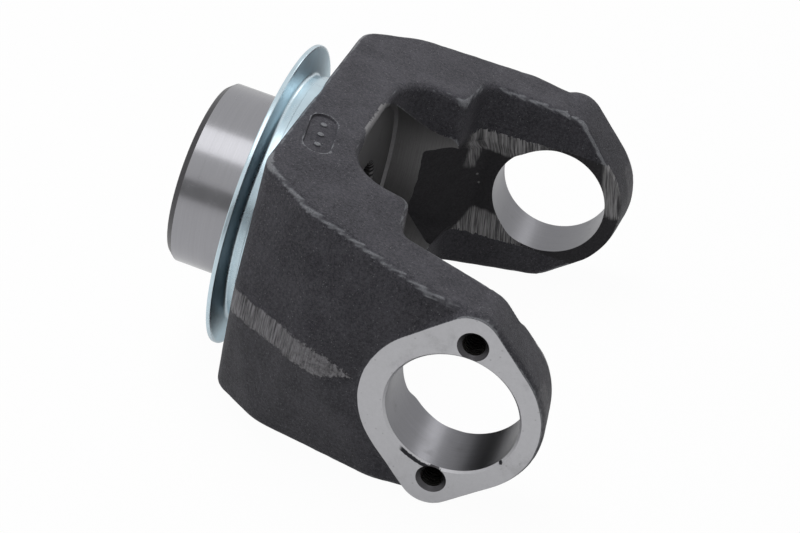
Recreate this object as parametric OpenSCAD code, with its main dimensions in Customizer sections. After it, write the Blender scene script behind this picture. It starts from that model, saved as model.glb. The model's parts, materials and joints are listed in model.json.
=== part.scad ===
// Drive-shaft end yoke: a drafted forging with a splined hub, two bored ears
// and a pressed dust slinger on the hub.
// The yoke is drawn with its shaft axis along X (hub toward -X, ears toward +X)
// and its cross bores along Y, then laid down the way it rests on a bench.

/* [Cross bores] */
// Diameter of the two cross bores
bore_d = 49.2; // [40:0.1:54]
// Distance over the two machined ear faces
span = 191.7; // [180:0.1:215]
// Thickness of each ear at its bore
ear_t = 24.7; // [22:0.1:27]
// Edge break at both ends of each cross bore
bore_break = 0.8; // [0.3:0.1:1.5]

/* [Ear pads] */
// Radius of the round end of an ear
ear_r = 34.6; // [33:0.1:37]
// How far the round end is centred behind the bore
ear_set_back = 1.2; // [0:0.1:2]
// Radius of the two lobes that carry the tapped holes
lobe_r = 12.4; // [11:0.1:13]
// Width lost around an ear from its outer to its inner face
ear_taper = 1.8; // [0.5:0.1:2]
// Width lost where the milled face cuts the round outer edge of an ear
face_cut = 1.1; // [0.5:0.1:1.6]
// Distance between the two tapped holes of an ear
tap_spacing = 60.9; // [60:0.1:63]
// Drilled diameter of a tapped hole
tap_d = 8.5; // [7:0.1:9.5]
// Diameter of the countersink over a tapped hole
tap_sink_d = 11.5; // [10:0.1:12.5]
// Depth of a tapped hole
tap_depth = 19; // [14:0.5:20]

/* [Hub] */
// Distance from the cross bore axis to the end of the hub
hub_reach = 132.7; // [125:0.1:145]
// Diameter of the ground seal journal
journal_d = 76; // [70:0.1:80]
// Chamfer at the end of the journal
journal_chamfer = 1.8; // [0.5:0.1:3]
// How far the turned seat of the slinger stands in front of the hub face
seat_stand = 0.4; // [0.2:0.1:1.5]
// Width of the seat around the shoulder
seat_w = 2.4; // [2:0.1:2.8]
// Diameter of the turned shoulder that the slinger is pressed onto
shoulder_d = 99.6; // [98:0.1:100.5]
// Length of the shoulder from its seat
shoulder_len = 6.6; // [6:0.1:9]
// Edge break at the end of the shoulder
shoulder_break = 0.6; // [0.3:0.1:1]

/* [Spline] */
// Number of teeth in the hub
spline_teeth = 46; // [36:1:50]
// Diameter over the tips of the spline teeth
spline_tip_d = 50; // [46:0.1:51]
// Depth of the spaces between the teeth
spline_depth = 1.9; // [1.2:0.1:2.2]
// Chamfer at both mouths of the splined bore
spline_chamfer = 1.2; // [0.5:0.1:2]

/* [Nut pocket] */
// Distance from the cross bore axis to the machined nut seat
nut_seat_reach = 69; // [66:0.1:72]
// Diameter of the machined counterbore around the nut
nut_bore_d = 102; // [96:0.1:104]
// Corner relief between the nut seat and the counterbore wall
nut_corner = 1.4; // [0.5:0.1:2]

/* [Forged body] */
// Height of the upper face over the cross bore axis
ear_top = 41.6; // [40:0.1:43]
// Depth of the lower face under the cross bore axis
ear_bottom = 40.4; // [39:0.1:42]
// Rise of the top face for each millimetre toward the hub
top_slope = 0.121; // [0.09:0.001:0.14]
// Distance from the cross bore axis to the hub face at the parting line
hub_face = 97; // [95:0.1:97.1]
// How much the hub face leans in from the parting line to the top edge
hub_face_lean = 2.4; // [0.5:0.1:3]
// Half width of the flat part of the hub face
hub_half = 50; // [44:0.5:54]
// How deep the turned seat is rooted in the forged body
hub_root = 1.5; // [0.5:0.1:3]
// Half width of the body at its hub corner, on the parting line
corner_half = 75.7; // [72:0.1:79]
// How far the hub corner lies in front of the hub face, on the parting line
corner_run = 5.3; // [3:0.1:8]
// How far the shoulder of the arms lies in front of the hub face
arm_run = 41.5; // [36:0.5:48]
// How far the cross bore faces stand out over the parting line
pad_rise = 0.85; // [0.5:0.05:2]
// Width lost on each side between parting line and top edge, at the hub corner
corner_draft = 13.5; // [10:0.1:18]
// The same at the shoulder of the arms
arm_draft = 15.2; // [13:0.1:19]
// The same at the ears
ear_draft = 1.4; // [0.8:0.1:3]
// Radius of the forged edges
edge_r = 2.8; // [1.5:0.1:3.5]
// Half height of the flat band where the flash is trimmed off
flash_half = 4; // [1:0.1:6]

/* [Fork opening] */
// Half height of the trimmed window between the arms
window_half = 22; // [18:0.5:24]
// Distance from the cross bore axis to the inner corner of an ear land
land_reach = 32; // [28:0.5:36]
// Distance from the cross bore axis to the back of the trimmed window
window_reach = 55; // [50:0.5:60]
// Half width of the trimmed window at its back
window_back_half = 50.5; // [47:0.1:52]
// Half width of the nut pocket at the top edge
pocket_half = 43; // [40:0.1:45]
// Distance from the cross bore axis to the back of the nut pocket
pocket_reach = 68.3; // [65:0.1:69]
// Distance from the cross bore axis to the nose of a rib
rib_reach = 42; // [40:0.5:46]
// Half width between the arms at the back corner of the ear recess
recess_half = 66.4; // [64:0.1:69]
// How far that back corner lies in front of the rib nose
recess_run = 3.7; // [1:0.1:6]
// Outward flare of the arms' inner faces for each millimetre toward the tips
recess_flare = 0.165; // [0.12:0.001:0.18]
// Draft angle of the pocket walls
pocket_draft = 3.5; // [2:0.5:7]

/* [Slinger] */
// Outer diameter of the slinger
slinger_d = 127; // [118:0.5:136]
// Thickness of the pressed sheet
slinger_t = 1.8; // [1.2:0.1:2.4]
// Length of the collar from its seat to the flange face
collar_len = 4.4; // [4:0.1:6]
// Radial clearance between the collar and its shoulder
slinger_fit = 0.05; // [0.02:0.01:0.15]
// Inner bend radius between collar and flange
slinger_bend = 1.6; // [0.8:0.1:2.4]
// How far the rim is dished back toward the hub
slinger_dish = 0.6; // [0:0.1:1.5]
// Rounding of the sheared rim
rim_round = 0.4; // [0.1:0.1:0.6]

/* [Hidden] */
forged = "#3c3b40";
zinc = "#a9c3cc";
arc_steps = 6;
edge_angles = [0, 45, 90];
eps = 0.05;

half_span = span / 2;
land_half = half_span - ear_t;
tap_offset = tap_spacing / 2;
parting_half = half_span - pad_rise;
shoulder_r = shoulder_d / 2;
seat_reach = hub_face + seat_stand;
shoulder_reach = seat_reach + shoulder_len;
journal_r = journal_d / 2;
spline_tip_r = spline_tip_d / 2;
nut_r = nut_bore_d / 2;
bore_r = bore_d / 2;
rim_r = slinger_d / 2;
arm_half = parting_half - 0.8;
// Past the tips of the ears, where the cutters of the fork end
fork_end = ear_r + 25;
// Height that clears the upper and lower face everywhere
clear_h = ear_top + top_slope * hub_face + 12;
// Height at which the sizes of the fork opening are given
rim_h = ear_top + top_slope * rib_reach - edge_r;

// The yoke rests on the slinger's rim and on the lower lobes of the ears.
// Their common tangent gives the angle at which the shaft axis dips.
slinger_face = seat_reach + collar_len;
rim_front = slinger_face + slinger_dish + rim_round;
rest_run = rim_front - ear_set_back;
rest_drop = rim_r - tap_offset;
rest_tilt = atan(rest_drop / rest_run) - asin(lobe_r / norm([rest_run, rest_drop]));

// Outline helpers. A corner is [x, y, rounding radius], and outlines run
// counter-clockwise.
function xy(c) = [c[0], c[1]];
function unit(v) = v / norm(v);
function outward(a, b) = let (d = unit(b - a)) [d[1], -d[0]];
function turned(v, a) = [v[0] * cos(a) - v[1] * sin(a), v[0] * sin(a) + v[1] * cos(a)];
function both_sides(half) = concat(half,
    [for (i = [len(half) - 1:-1:0]) [half[i][0], -half[i][1], half[i][2]]]);

// Each edge of an outline moved outwards by d
function grown(c, d) = let (n = len(c)) [for (i = [0:n - 1])
    let (q = xy(c[i]), u = outward(xy(c[(i + n - 1) % n]), q), v = outward(q, xy(c[(i + 1) % n])),
         m = (u + v) * d / (1 + u * v))
    [q[0] + m[0], q[1] + m[1], c[i][2]]];

// Points along an arc, from angle a to angle b in n steps
function arc(centre, r, a, b, n) =
    [for (i = [0:n]) let (t = a + (b - a) * i / n) centre + [r * cos(t), r * sin(t)]];

// The arc that rounds corner q between its neighbours p and s
function corner_arc(p, q, s, r) =
    let (a = unit(p - q), b = unit(s - q), half = acos(a * b) / 2,
         centre = q + unit(a + b) * r / sin(half),
         from = q + a * r / tan(half) - centre,
         side = cross(q - p, s - q) > 0 ? 1 : -1)
    [for (i = [0:arc_steps]) centre + turned(from, side * (180 - 2 * half) * i / arc_steps)];

function rounded(c) = let (n = len(c)) [for (i = [0:n - 1])
    each c[i][2] == 0 ? [xy(c[i])]
        : corner_arc(xy(c[(i + n - 1) % n]), xy(c[i]), xy(c[(i + 1) % n]), c[i][2])];

function at_height(points, z) = [for (p = points) [p[0], p[1], z]];

// Points laid a little below a face that is h high over the cross bore axis
function on_face(points, h, drop) = [for (p = points) [p[0], p[1], h - top_slope * p[0] - drop]];

// Rings of a forged edge between the walls over an outline and such a face, lowest first.
// They draw in around a body (turn -1) and open out around a pocket (turn 1).
function forged_edge(outline, h, turn) = [for (a = edge_angles)
    on_face(rounded(grown(outline, turn * edge_r * (1 - cos(a)))), h, edge_r * (1 - sin(a)))];

// The same rings under the parting plane, lowest first
function flipped(rings) = [for (i = [len(rings) - 1:-1:0]) [for (p = rings[i]) [p[0], p[1], -p[2]]]];

// Solid through a stack of rings with the same number of points, lowest first. Its two
// ends are closed by strips, each between two neighbouring points and their mirror points.
module loft(rings) {
    n = len(rings[0]);
    last = (len(rings) - 1) * n;
    strips = [for (i = [0:n / 2 - 2]) [i, i + 1, n - 2 - i, n - 1 - i]];
    sides = [for (k = [0:len(rings) - 2], i = [0:n - 1]) let (a = k * n + i, b = k * n + (i + 1) % n)
        each [[a, a + n, b + n], [a, b + n, b]]];
    polyhedron(points = [for (r = rings) each r],
        faces = concat(strips, sides, [for (s = strips) [for (k = [3:-1:0]) last + s[k]]]));
}

// Along the shaft, measured from the cross bore axis toward the hub end
module along_hub() rotate([0, -90, 0]) children();

// Along the cross bores, from the middle toward one ear
module along_bore(side) rotate([-90 * side, 0, 0]) children();

// The outer form of the forging: one drafted half up, one down from the parting line
module forging_blank() {
    parting = rounded(both_sides([
        [-hub_face, -hub_half, 0],
        [-hub_face + corner_run, -corner_half, 11],
        [-hub_face + arm_run, -arm_half, 34],
        [-ear_r, -parting_half, 200],
        [ear_r - 6, -parting_half, 0]]));
    top_face = hub_face - hub_face_lean;
    edge = both_sides([
        [-top_face, -corner_half + corner_draft, 12],
        [-hub_face + arm_run - 17, -arm_half + arm_draft, 28],
        [-ear_r + 12, -parting_half + ear_draft, 18],
        [-2, -parting_half + ear_draft, 0]]);
    hull() {
        loft(flipped(forged_edge(edge, ear_bottom, -1)));
        loft([at_height(parting, -flash_half), at_height(parting, flash_half)]);
        loft(forged_edge(edge, ear_top, -1));
    }
}

// Outline of an ear seen along the bores: a round end with two lobes, drawn in by inset
function ear_outline(inset) =
    let (wrap = acos((ear_r - lobe_r) / tap_offset), end_r = ear_r - inset, side_r = lobe_r - inset)
    concat(
        arc([-ear_set_back, 0], end_r, -90 + wrap, 90 - wrap, 20),
        arc([-ear_set_back, tap_offset], side_r, 90 - wrap, 90 + wrap, 12),
        arc([-ear_set_back, 0], end_r, 90 + wrap, 270 - wrap, 20),
        arc([-ear_set_back, -tap_offset], side_r, 270 - wrap, 270 + wrap, 12));

// An ear with its milled face, tapered and rounded toward its inner face
module ear(side) {
    rings = concat(
        [[land_half - 8, ear_taper + edge_r]],
        [for (a = [90, 45, 0]) [land_half + edge_r * (1 - sin(a)), ear_taper + edge_r * (1 - cos(a))]],
        [[half_span - edge_r, 0], [half_span - face_cut, face_cut * 0.4], [half_span, face_cut]]);
    along_bore(side) hull() loft([for (r = rings) at_height(ear_outline(r[1]), r[0])]);
}

module hub() {
    along_hub() rotate_extrude($fn = 120) polygon([
        [0, hub_face - hub_face_lean - hub_root],
        [shoulder_r + seat_w, hub_face - hub_face_lean - hub_root],
        [shoulder_r + seat_w, seat_reach],
        [shoulder_r, seat_reach],
        [shoulder_r, shoulder_reach - shoulder_break],
        [shoulder_r - shoulder_break, shoulder_reach],
        [journal_r, shoulder_reach],
        [journal_r, hub_reach - journal_chamfer],
        [journal_r - journal_chamfer, hub_reach],
        [0, hub_reach]]);
}

// One drafted half of the fork opening, from the trimmed window up past the face
module fork_half(side) {
    rim = both_sides([
        [-pocket_reach, -pocket_half, 20],
        [-rib_reach, -pocket_half, 4],
        [-rib_reach + recess_run, -recess_half, 7],
        [fork_end, -recess_half - recess_flare * (fork_end + rib_reach - recess_run), 0]]);
    low_h = window_half - 0.2;
    low = at_height(rounded(grown(rim, (low_h - rim_h) * tan(pocket_draft))), low_h);
    high = at_height(rounded(grown(rim, edge_r)), clear_h);
    mirror([0, 0, side < 0 ? 1 : 0])
        loft(concat([low], forged_edge(rim, (side < 0 ? ear_bottom : ear_top) + eps, 1), [high]));
}

// The window that is trimmed through between the two drafted halves
module trimmed_window() {
    middle = both_sides([
        [-window_reach, -window_back_half, 0],
        [-land_reach, -land_half, 0],
        [fork_end, -land_half, 0]]);
    edge = both_sides([
        [-window_reach + 9, -window_back_half + 5, 0],
        [-land_reach, -land_half, 0],
        [fork_end, -land_half, 0]]);
    step = window_half - 9;
    loft([at_height(rounded(edge), -window_half), at_height(rounded(middle), -step),
        at_height(rounded(middle), step), at_height(rounded(edge), window_half)]);
}

// Machined seat and wall for the nut that holds the yoke on its shaft
module nut_counterbore() {
    front = land_reach - 12;
    along_hub() rotate_extrude($fn = 120) polygon([
        [0, front],
        [nut_r, front],
        [nut_r, nut_seat_reach - nut_corner],
        [nut_r - nut_corner, nut_seat_reach],
        [0, nut_seat_reach]]);
}

// Spaces between the spline teeth, drawn inward past the tooth tips
module spline_spaces() {
    pitch = 360 / spline_teeth;
    inner_r = spline_tip_r - 0.8;
    outer_r = spline_tip_r + spline_depth;
    linear_extrude(hub_reach - nut_seat_reach + 2) polygon([for (i = [0:spline_teeth - 1])
        each [for (k = [[inner_r, -0.36], [outer_r, -0.16], [outer_r, 0.16], [inner_r, 0.36]])
            [k[0] * cos((i + k[1]) * pitch), k[0] * sin((i + k[1]) * pitch)]]]);
}

module splined_bore() {
    mouth_r = spline_tip_r + spline_chamfer;
    along_hub() translate([0, 0, nut_seat_reach - 1]) {
        spline_spaces();
        cylinder(h = hub_reach - nut_seat_reach + 2, r = spline_tip_r, $fn = 120);
    }
    along_hub() translate([0, 0, nut_seat_reach - eps])
        cylinder(h = spline_chamfer, r1 = mouth_r, r2 = spline_tip_r, $fn = 120);
    along_hub() translate([0, 0, hub_reach - spline_chamfer + eps])
        cylinder(h = spline_chamfer, r1 = spline_tip_r, r2 = mouth_r, $fn = 120);
}

// One cross bore with the edge break at its outer face
module cross_bore(side) {
    along_bore(side) {
        translate([0, 0, land_half - 10]) cylinder(h = ear_t + 20, r = bore_r, $fn = 120);
        translate([0, 0, half_span - bore_break])
            cylinder(h = bore_break + eps, r1 = bore_r, r2 = bore_r + bore_break + eps, $fn = 120);
    }
}

// One blind tapped hole with its countersink and drill point
module tapped_hole(side, place) {
    sink = (tap_sink_d - tap_d) / 2;
    tap_r = tap_d / 2;
    translate([0, 0, place * tap_offset]) along_bore(side) {
        translate([0, 0, half_span - tap_depth]) cylinder(h = tap_depth + 1, r = tap_r, $fn = 48);
        translate([0, 0, half_span - tap_depth - tap_r * 0.55])
            cylinder(h = tap_r * 0.55 + eps, r1 = 0.1, r2 = tap_r, $fn = 48);
        translate([0, 0, half_span - sink])
            cylinder(h = sink + eps, r1 = tap_r, r2 = tap_r + sink + eps, $fn = 48);
    }
}

module yoke() {
    color(forged) rotate([0, rest_tilt, 0]) difference() {
        union() {
            forging_blank();
            hub();
            for (side = [-1, 1]) ear(side);
        }
        trimmed_window();
        for (side = [-1, 1]) fork_half(side);
        nut_counterbore();
        splined_bore();
        for (side = [-1, 1]) cross_bore(side);
        for (side = [-1, 1], place = [-1, 1]) tapped_hole(side, place);
    }
}

// The slinger: one pressed ring, a collar that turns out into a dished flange
module slinger() {
    in_r = shoulder_r + slinger_fit;
    out_r = in_r + slinger_t;
    back = slinger_face + slinger_t;
    bend_r = slinger_bend + slinger_t;
    front_bend = [for (i = [0:arc_steps]) let (a = 180 - 90 * i / arc_steps)
        [out_r + slinger_bend * (1 + cos(a)), slinger_face - slinger_bend * (1 - sin(a))]];
    back_bend = [for (i = [0:arc_steps]) let (a = 90 + 90 * i / arc_steps)
        [in_r + bend_r * (1 + cos(a)), back - bend_r * (1 - sin(a))]];
    color(zinc) rotate([0, rest_tilt, 0]) along_hub() rotate_extrude($fn = 120) polygon(concat(
        [[in_r, seat_reach], [out_r, seat_reach]],
        front_bend,
        [[rim_r - rim_round, slinger_face + slinger_dish],
         [rim_r, rim_front],
         [rim_r, back + slinger_dish - rim_round],
         [rim_r - rim_round, back + slinger_dish]],
        back_bend));
}

yoke();
slinger();
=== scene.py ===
"""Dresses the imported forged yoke: one drafted forging, trimmed and machined, and its pressed slinger.

The yoke is made here the way the real one is made. A blank is forged, its flash is trimmed, and its
bores, faces, threads and spline are cut. Sizes are in millimetres, in the yoke's own frame: the shaft
axis along X with the hub toward -X, the cross bores along Y, and the origin where the two axes meet.
Each finished piece is then laid down into the row frame, in metres.
"""

import json
import logging
import math
from dataclasses import dataclass
from enum import Enum
from typing import Iterable, Optional, Union

import bmesh
import bpy
import numpy as np
from mathutils import Matrix, Vector, noise

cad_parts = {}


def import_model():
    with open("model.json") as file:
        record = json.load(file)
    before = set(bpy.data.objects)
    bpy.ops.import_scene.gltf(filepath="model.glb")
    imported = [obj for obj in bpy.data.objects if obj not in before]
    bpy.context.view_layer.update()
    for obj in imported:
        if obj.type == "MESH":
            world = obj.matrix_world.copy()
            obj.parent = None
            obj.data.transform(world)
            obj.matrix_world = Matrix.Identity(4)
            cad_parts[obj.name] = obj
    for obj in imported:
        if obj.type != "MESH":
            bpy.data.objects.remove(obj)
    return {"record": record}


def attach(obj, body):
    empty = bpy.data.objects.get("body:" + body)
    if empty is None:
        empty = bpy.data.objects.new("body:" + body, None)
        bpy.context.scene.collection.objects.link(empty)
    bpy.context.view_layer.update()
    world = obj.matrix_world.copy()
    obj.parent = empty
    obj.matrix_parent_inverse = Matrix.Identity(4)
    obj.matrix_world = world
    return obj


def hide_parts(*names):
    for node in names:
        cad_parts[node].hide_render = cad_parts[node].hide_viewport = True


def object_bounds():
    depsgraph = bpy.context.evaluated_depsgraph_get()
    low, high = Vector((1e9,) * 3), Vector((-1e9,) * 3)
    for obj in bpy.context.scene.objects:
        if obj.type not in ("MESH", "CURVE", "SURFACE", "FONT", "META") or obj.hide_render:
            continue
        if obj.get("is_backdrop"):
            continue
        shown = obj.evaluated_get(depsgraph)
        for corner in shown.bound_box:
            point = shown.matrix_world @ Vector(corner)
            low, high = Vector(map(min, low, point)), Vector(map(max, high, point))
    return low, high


LOG = logging.getLogger("forged_yoke")
MM = 0.001

Point2 = tuple[float, float]
Point3 = tuple[float, float, float]
Corner = tuple[float, float, float]
Colour = tuple[float, float, float]
Ring = list[Point3]
# Where a smooth step starts and where it ends.
Band = tuple[float, float]
# The scale, detail and roughness of a noise.
Noise = tuple[float, float, float]
# What a node's settings and inputs are given.
Settings = Optional[dict[str, object]]
Links = Optional[dict[Union[str, int], object]]


class Finish(Enum):
    """The finishes of the yoke, in the order of its material slots."""

    FORGED = 0
    MILLED = 1
    BORED = 2
    TURNED = 3
    GROUND = 4
    FACED = 5
    BROACHED = 6
    TAPPED = 7
    SHEARED = 8
    SEATED_PAINTED_REFLECTION = 9
    ENDED = 10
    SUNK = 11


class Cut(Enum):
    """What a boolean does with its tool."""

    UNITE = "UNION"
    REMOVE = "DIFFERENCE"


@dataclass(frozen=True)
class Lie:
    """How the part lies in the row frame: its shaft axis dips by an angle about Y."""

    tilt: float

    @classmethod
    def from_record(cls, record: dict) -> "Lie":
        """Reads the dip from the axis of the seal journal.

        Args:
            record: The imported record.

        Returns:
            The lie of the part.
        """
        axis = next(m["axis"] for m in record["mounts"] if m["name"] == "seal_journal")
        return cls(tilt=math.atan2(axis[2], -axis[0]))

    def matrix(self) -> Matrix:
        """Takes points from the part's own frame in millimetres to the row frame in metres."""
        return Matrix.Rotation(self.tilt, 4, "Y") @ Matrix.Scale(MM, 4)


def mount(record: dict, name: str) -> dict:
    """Finds one of the record's mounts.

    Args:
        record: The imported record.
        name: The mount's name.

    Returns:
        The mount as the record states it.
    """
    return next(m for m in record["mounts"] if m["name"] == name)


class Outline:
    """A closed outline of corners, each (x, y, rounding radius), that runs counter-clockwise."""

    ARC_STEPS = 12

    def __init__(self, corners: Iterable[Corner]) -> None:
        """Keeps the corners.

        Args:
            corners: The corners in order.
        """
        self.corners = [tuple(map(float, c)) for c in corners]

    @classmethod
    def mirrored(cls, half: Iterable[Corner]) -> "Outline":
        """Builds an outline that is the same on both sides of the shaft.

        Args:
            half: The corners on the -Y side, from the hub toward the tips.

        Returns:
            The whole outline.
        """
        half = list(half)
        return cls(half + [(x, -y, r) for x, y, r in reversed(half)])

    def grown(self, distance: float) -> "Outline":
        """Moves each edge outwards.

        Args:
            distance: How far each edge moves.

        Returns:
            The larger outline, with the same radii.
        """
        moved = []
        for k, (x, y, radius) in enumerate(self.corners):
            here = np.array((x, y))
            before = np.array(self.corners[k - 1][:2])
            after = np.array(self.corners[(k + 1) % len(self.corners)][:2])
            u = self._outward(before, here)
            v = self._outward(here, after)
            step = (u + v) * distance / (1 + u @ v)
            moved.append((here[0] + step[0], here[1] + step[1], radius))
        return Outline(moved)

    def points(self) -> list[Point2]:
        """Rounds the corners and returns the outline's points.

        Returns:
            The points, with arcs in place of the rounded corners.
        """
        found: list[Point2] = []
        for k, (x, y, radius) in enumerate(self.corners):
            here = np.array((x, y))
            if radius == 0:
                found.append((x, y))
                continue
            before = np.array(self.corners[k - 1][:2])
            after = np.array(self.corners[(k + 1) % len(self.corners)][:2])
            found.extend(self._corner_arc(before, here, after, radius))
        return found

    def _corner_arc(self, p: np.ndarray, q: np.ndarray, s: np.ndarray, radius: float) -> list[Point2]:
        """Points of the arc that rounds corner q between its neighbours p and s.

        Args:
            p: The corner before.
            q: The corner that is rounded.
            s: The corner after.
            radius: The arc's radius.

        Returns:
            The arc's points, in the outline's order.
        """
        a = (p - q) / np.linalg.norm(p - q)
        b = (s - q) / np.linalg.norm(s - q)
        half = math.acos(float(a @ b)) / 2
        centre = q + (a + b) / np.linalg.norm(a + b) * radius / math.sin(half)
        start = q + a * radius / math.tan(half) - centre
        cross = (q - p)[0] * (s - q)[1] - (q - p)[1] * (s - q)[0]
        sweep = math.copysign(math.pi - 2 * half, cross)
        arc = []
        for i in range(self.ARC_STEPS + 1):
            t = sweep * i / self.ARC_STEPS
            turned = (
                start[0] * math.cos(t) - start[1] * math.sin(t),
                start[0] * math.sin(t) + start[1] * math.cos(t),
            )
            arc.append((float(centre[0] + turned[0]), float(centre[1] + turned[1])))
        return arc

    @staticmethod
    def _outward(a: np.ndarray, b: np.ndarray) -> np.ndarray:
        """The unit normal of the edge from a to b, to its right."""
        d = (b - a) / np.linalg.norm(b - a)
        return np.array((d[1], -d[0]))


def level(points: Iterable[Point2], z: float) -> Ring:
    """Lays plan points at one height.

    Args:
        points: The points in plan.
        z: Their height.

    Returns:
        The ring in space.
    """
    return [(x, y, z) for x, y in points]


class MeshShop:
    """Builds meshes in the part's own frame and cuts, joins and finishes them."""

    MERGE = 1e-4
    FINE_WAVE = 0.4
    FINE_RATE = 3

    def __init__(self) -> None:
        """Opens an empty shop."""
        self.collection = bpy.context.scene.collection

    def piece(self, name: str, points: Iterable[Point3], faces: Iterable[Iterable[int]]) -> bpy.types.Object:
        """Makes a closed mesh object with its faces pointing outwards.

        Args:
            name: The object's name.
            points: The vertices.
            faces: The faces, as indices of the vertices.

        Returns:
            The new object.
        """
        mesh = bpy.data.meshes.new(name)
        mesh.from_pydata([tuple(p) for p in points], [], [tuple(f) for f in faces])
        return self.closed(self.show(name, mesh))

    def closed(self, body: bpy.types.Object) -> bpy.types.Object:
        """Merges a mesh's doubles and points its faces outwards.

        Args:
            body: The object that changes.

        Returns:
            The same object.
        """
        shape = bmesh.new()
        shape.from_mesh(body.data)
        bmesh.ops.remove_doubles(shape, verts=shape.verts, dist=self.MERGE)
        bmesh.ops.recalc_face_normals(shape, faces=shape.faces)
        shape.to_mesh(body.data)
        shape.free()
        return body

    def show(self, name: str, mesh: bpy.types.Mesh) -> bpy.types.Object:
        """Puts a mesh into the scene as an object at the origin.

        Args:
            name: The object's name.
            mesh: Its mesh.

        Returns:
            The new object.
        """
        made = bpy.data.objects.new(name, mesh)
        self.collection.objects.link(made)
        return made

    def loft(self, name: str, rings: list[Ring]) -> bpy.types.Object:
        """Makes a solid through a stack of rings with the same number of points.

        Args:
            name: The object's name.
            rings: The rings, lowest first.

        Returns:
            The new object.
        """
        n = len(rings[0])
        faces: list[list[int]] = [list(range(n)), [(len(rings) - 1) * n + i for i in range(n)]]
        for k in range(len(rings) - 1):
            for i in range(n):
                j = (i + 1) % n
                faces.append([k * n + i, k * n + j, (k + 1) * n + j, (k + 1) * n + i])
        return self.piece(name, [p for ring in rings for p in ring], faces)

    def hull(self, name: str, points: Iterable[Point3]) -> bpy.types.Object:
        """Makes the convex hull of points.

        Args:
            name: The object's name.
            points: The points to wrap.

        Returns:
            The new object.
        """
        shape = bmesh.new()
        for p in points:
            shape.verts.new(p)
        wrapped = bmesh.ops.convex_hull(shape, input=shape.verts)
        loose = [e for e in wrapped["geom_interior"] if isinstance(e, bmesh.types.BMVert)]
        bmesh.ops.delete(shape, geom=loose, context="VERTS")
        bmesh.ops.recalc_face_normals(shape, faces=shape.faces)
        mesh = bpy.data.meshes.new(name)
        shape.to_mesh(mesh)
        shape.free()
        return self.show(name, mesh)

    def turned(self, name: str, profile: list[Point2], steps: int = 192) -> bpy.types.Object:
        """Turns a profile of (radius, reach) pairs about the shaft axis, toward the hub.

        Args:
            name: The object's name.
            profile: The profile, from axis to axis. Reach runs toward -X.
            steps: How many facets go round.

        Returns:
            The new object.
        """
        points: list[Point3] = []
        rows: list[list[int]] = []
        for radius, reach in profile:
            count = 1 if radius == 0 else steps
            rows.append(list(range(len(points), len(points) + count)))
            for i in range(count):
                a = 2 * math.pi * i / steps
                points.append((-reach, radius * math.cos(a), radius * math.sin(a)))
        faces: list[list[int]] = []
        closing = rows[1:] + ([rows[0]] if len(rows[0]) > 1 else [])
        for low, high in zip(rows, closing):
            for i in range(steps):
                j = (i + 1) % steps
                corner = [low[i % len(low)], low[j % len(low)], high[j % len(high)], high[i % len(high)]]
                face = list(dict.fromkeys(corner))
                if len(face) > 2:
                    faces.append(face)
        return self.piece(name, points, faces)

    def box(self, name: str, low: Point3, high: Point3) -> bpy.types.Object:
        """Makes a block between two corners, used as a cutter."""
        ring = [(low[0], low[1]), (high[0], low[1]), (high[0], high[1]), (low[0], high[1])]
        return self.loft(name, [level(ring, low[2]), level(ring, high[2])])

    def combine(self, body: bpy.types.Object, tools: list[bpy.types.Object], cut: Cut) -> None:
        """Unites a body with tools or removes them from it, and uses the tools up.

        Args:
            body: The object that changes.
            tools: Closed objects.
            cut: What is done with the tools.
        """
        for tool in tools:
            step = body.modifiers.new("cut", "BOOLEAN")
            step.object = tool
            step.operation = cut.value
            step.solver = "EXACT"
        self.settle(body)
        for tool in tools:
            bpy.data.objects.remove(tool)

    def settle(self, body: bpy.types.Object) -> None:
        """Turns an object's modifiers into plain mesh and removes them.

        Args:
            body: The object that changes.
        """
        graph = bpy.context.evaluated_depsgraph_get()
        graph.update()
        mesh = bpy.data.meshes.new_from_object(body.evaluated_get(graph))
        body.modifiers.clear()
        old = body.data
        body.data = mesh
        bpy.data.meshes.remove(old)

    def ripple(self, body: bpy.types.Object, height: float, run: float, until: float = math.inf) -> None:
        """Gives a surface slight waves along its normals.

        Args:
            body: The object that changes.
            height: About how high the waves are.
            run: About how long they are.
            until: The waves die out before this place along X.
        """
        mesh = body.data
        places = np.empty(len(mesh.vertices) * 3)
        mesh.vertices.foreach_get("co", places)
        normals = np.empty(len(places))
        mesh.vertex_normals.foreach_get("vector", normals)
        points = [Vector(p) / run for p in places.reshape(-1, 3)]
        waves = np.array([
            noise.noise(p) + self.FINE_WAVE * noise.noise(p * self.FINE_RATE) for p in points
        ])
        waves *= np.clip((until - places.reshape(-1, 3)[:, 0]) / run, 0, 1)
        moved = places.reshape(-1, 3) + normals.reshape(-1, 3) * (height * waves)[:, None]
        mesh.vertices.foreach_set("co", moved.ravel())
        mesh.update()

    def smooth(self, body: bpy.types.Object, crease_deg: float) -> None:
        """Shades a mesh smooth and keeps the edges sharper than an angle crisp.

        Args:
            body: The object that changes.
            crease_deg: The least angle of an edge that stays crisp.
        """
        shape = bmesh.new()
        shape.from_mesh(body.data)
        for face in shape.faces:
            face.smooth = True
        for edge in shape.edges:
            edge.smooth = edge.calc_face_angle(0.0) < math.radians(crease_deg)
        shape.to_mesh(body.data)
        shape.free()

    def move(self, body: bpy.types.Object, matrix: Matrix) -> bpy.types.Object:
        """Moves an object's mesh and leaves the object at the origin."""
        body.data.transform(matrix)
        return body


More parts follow.
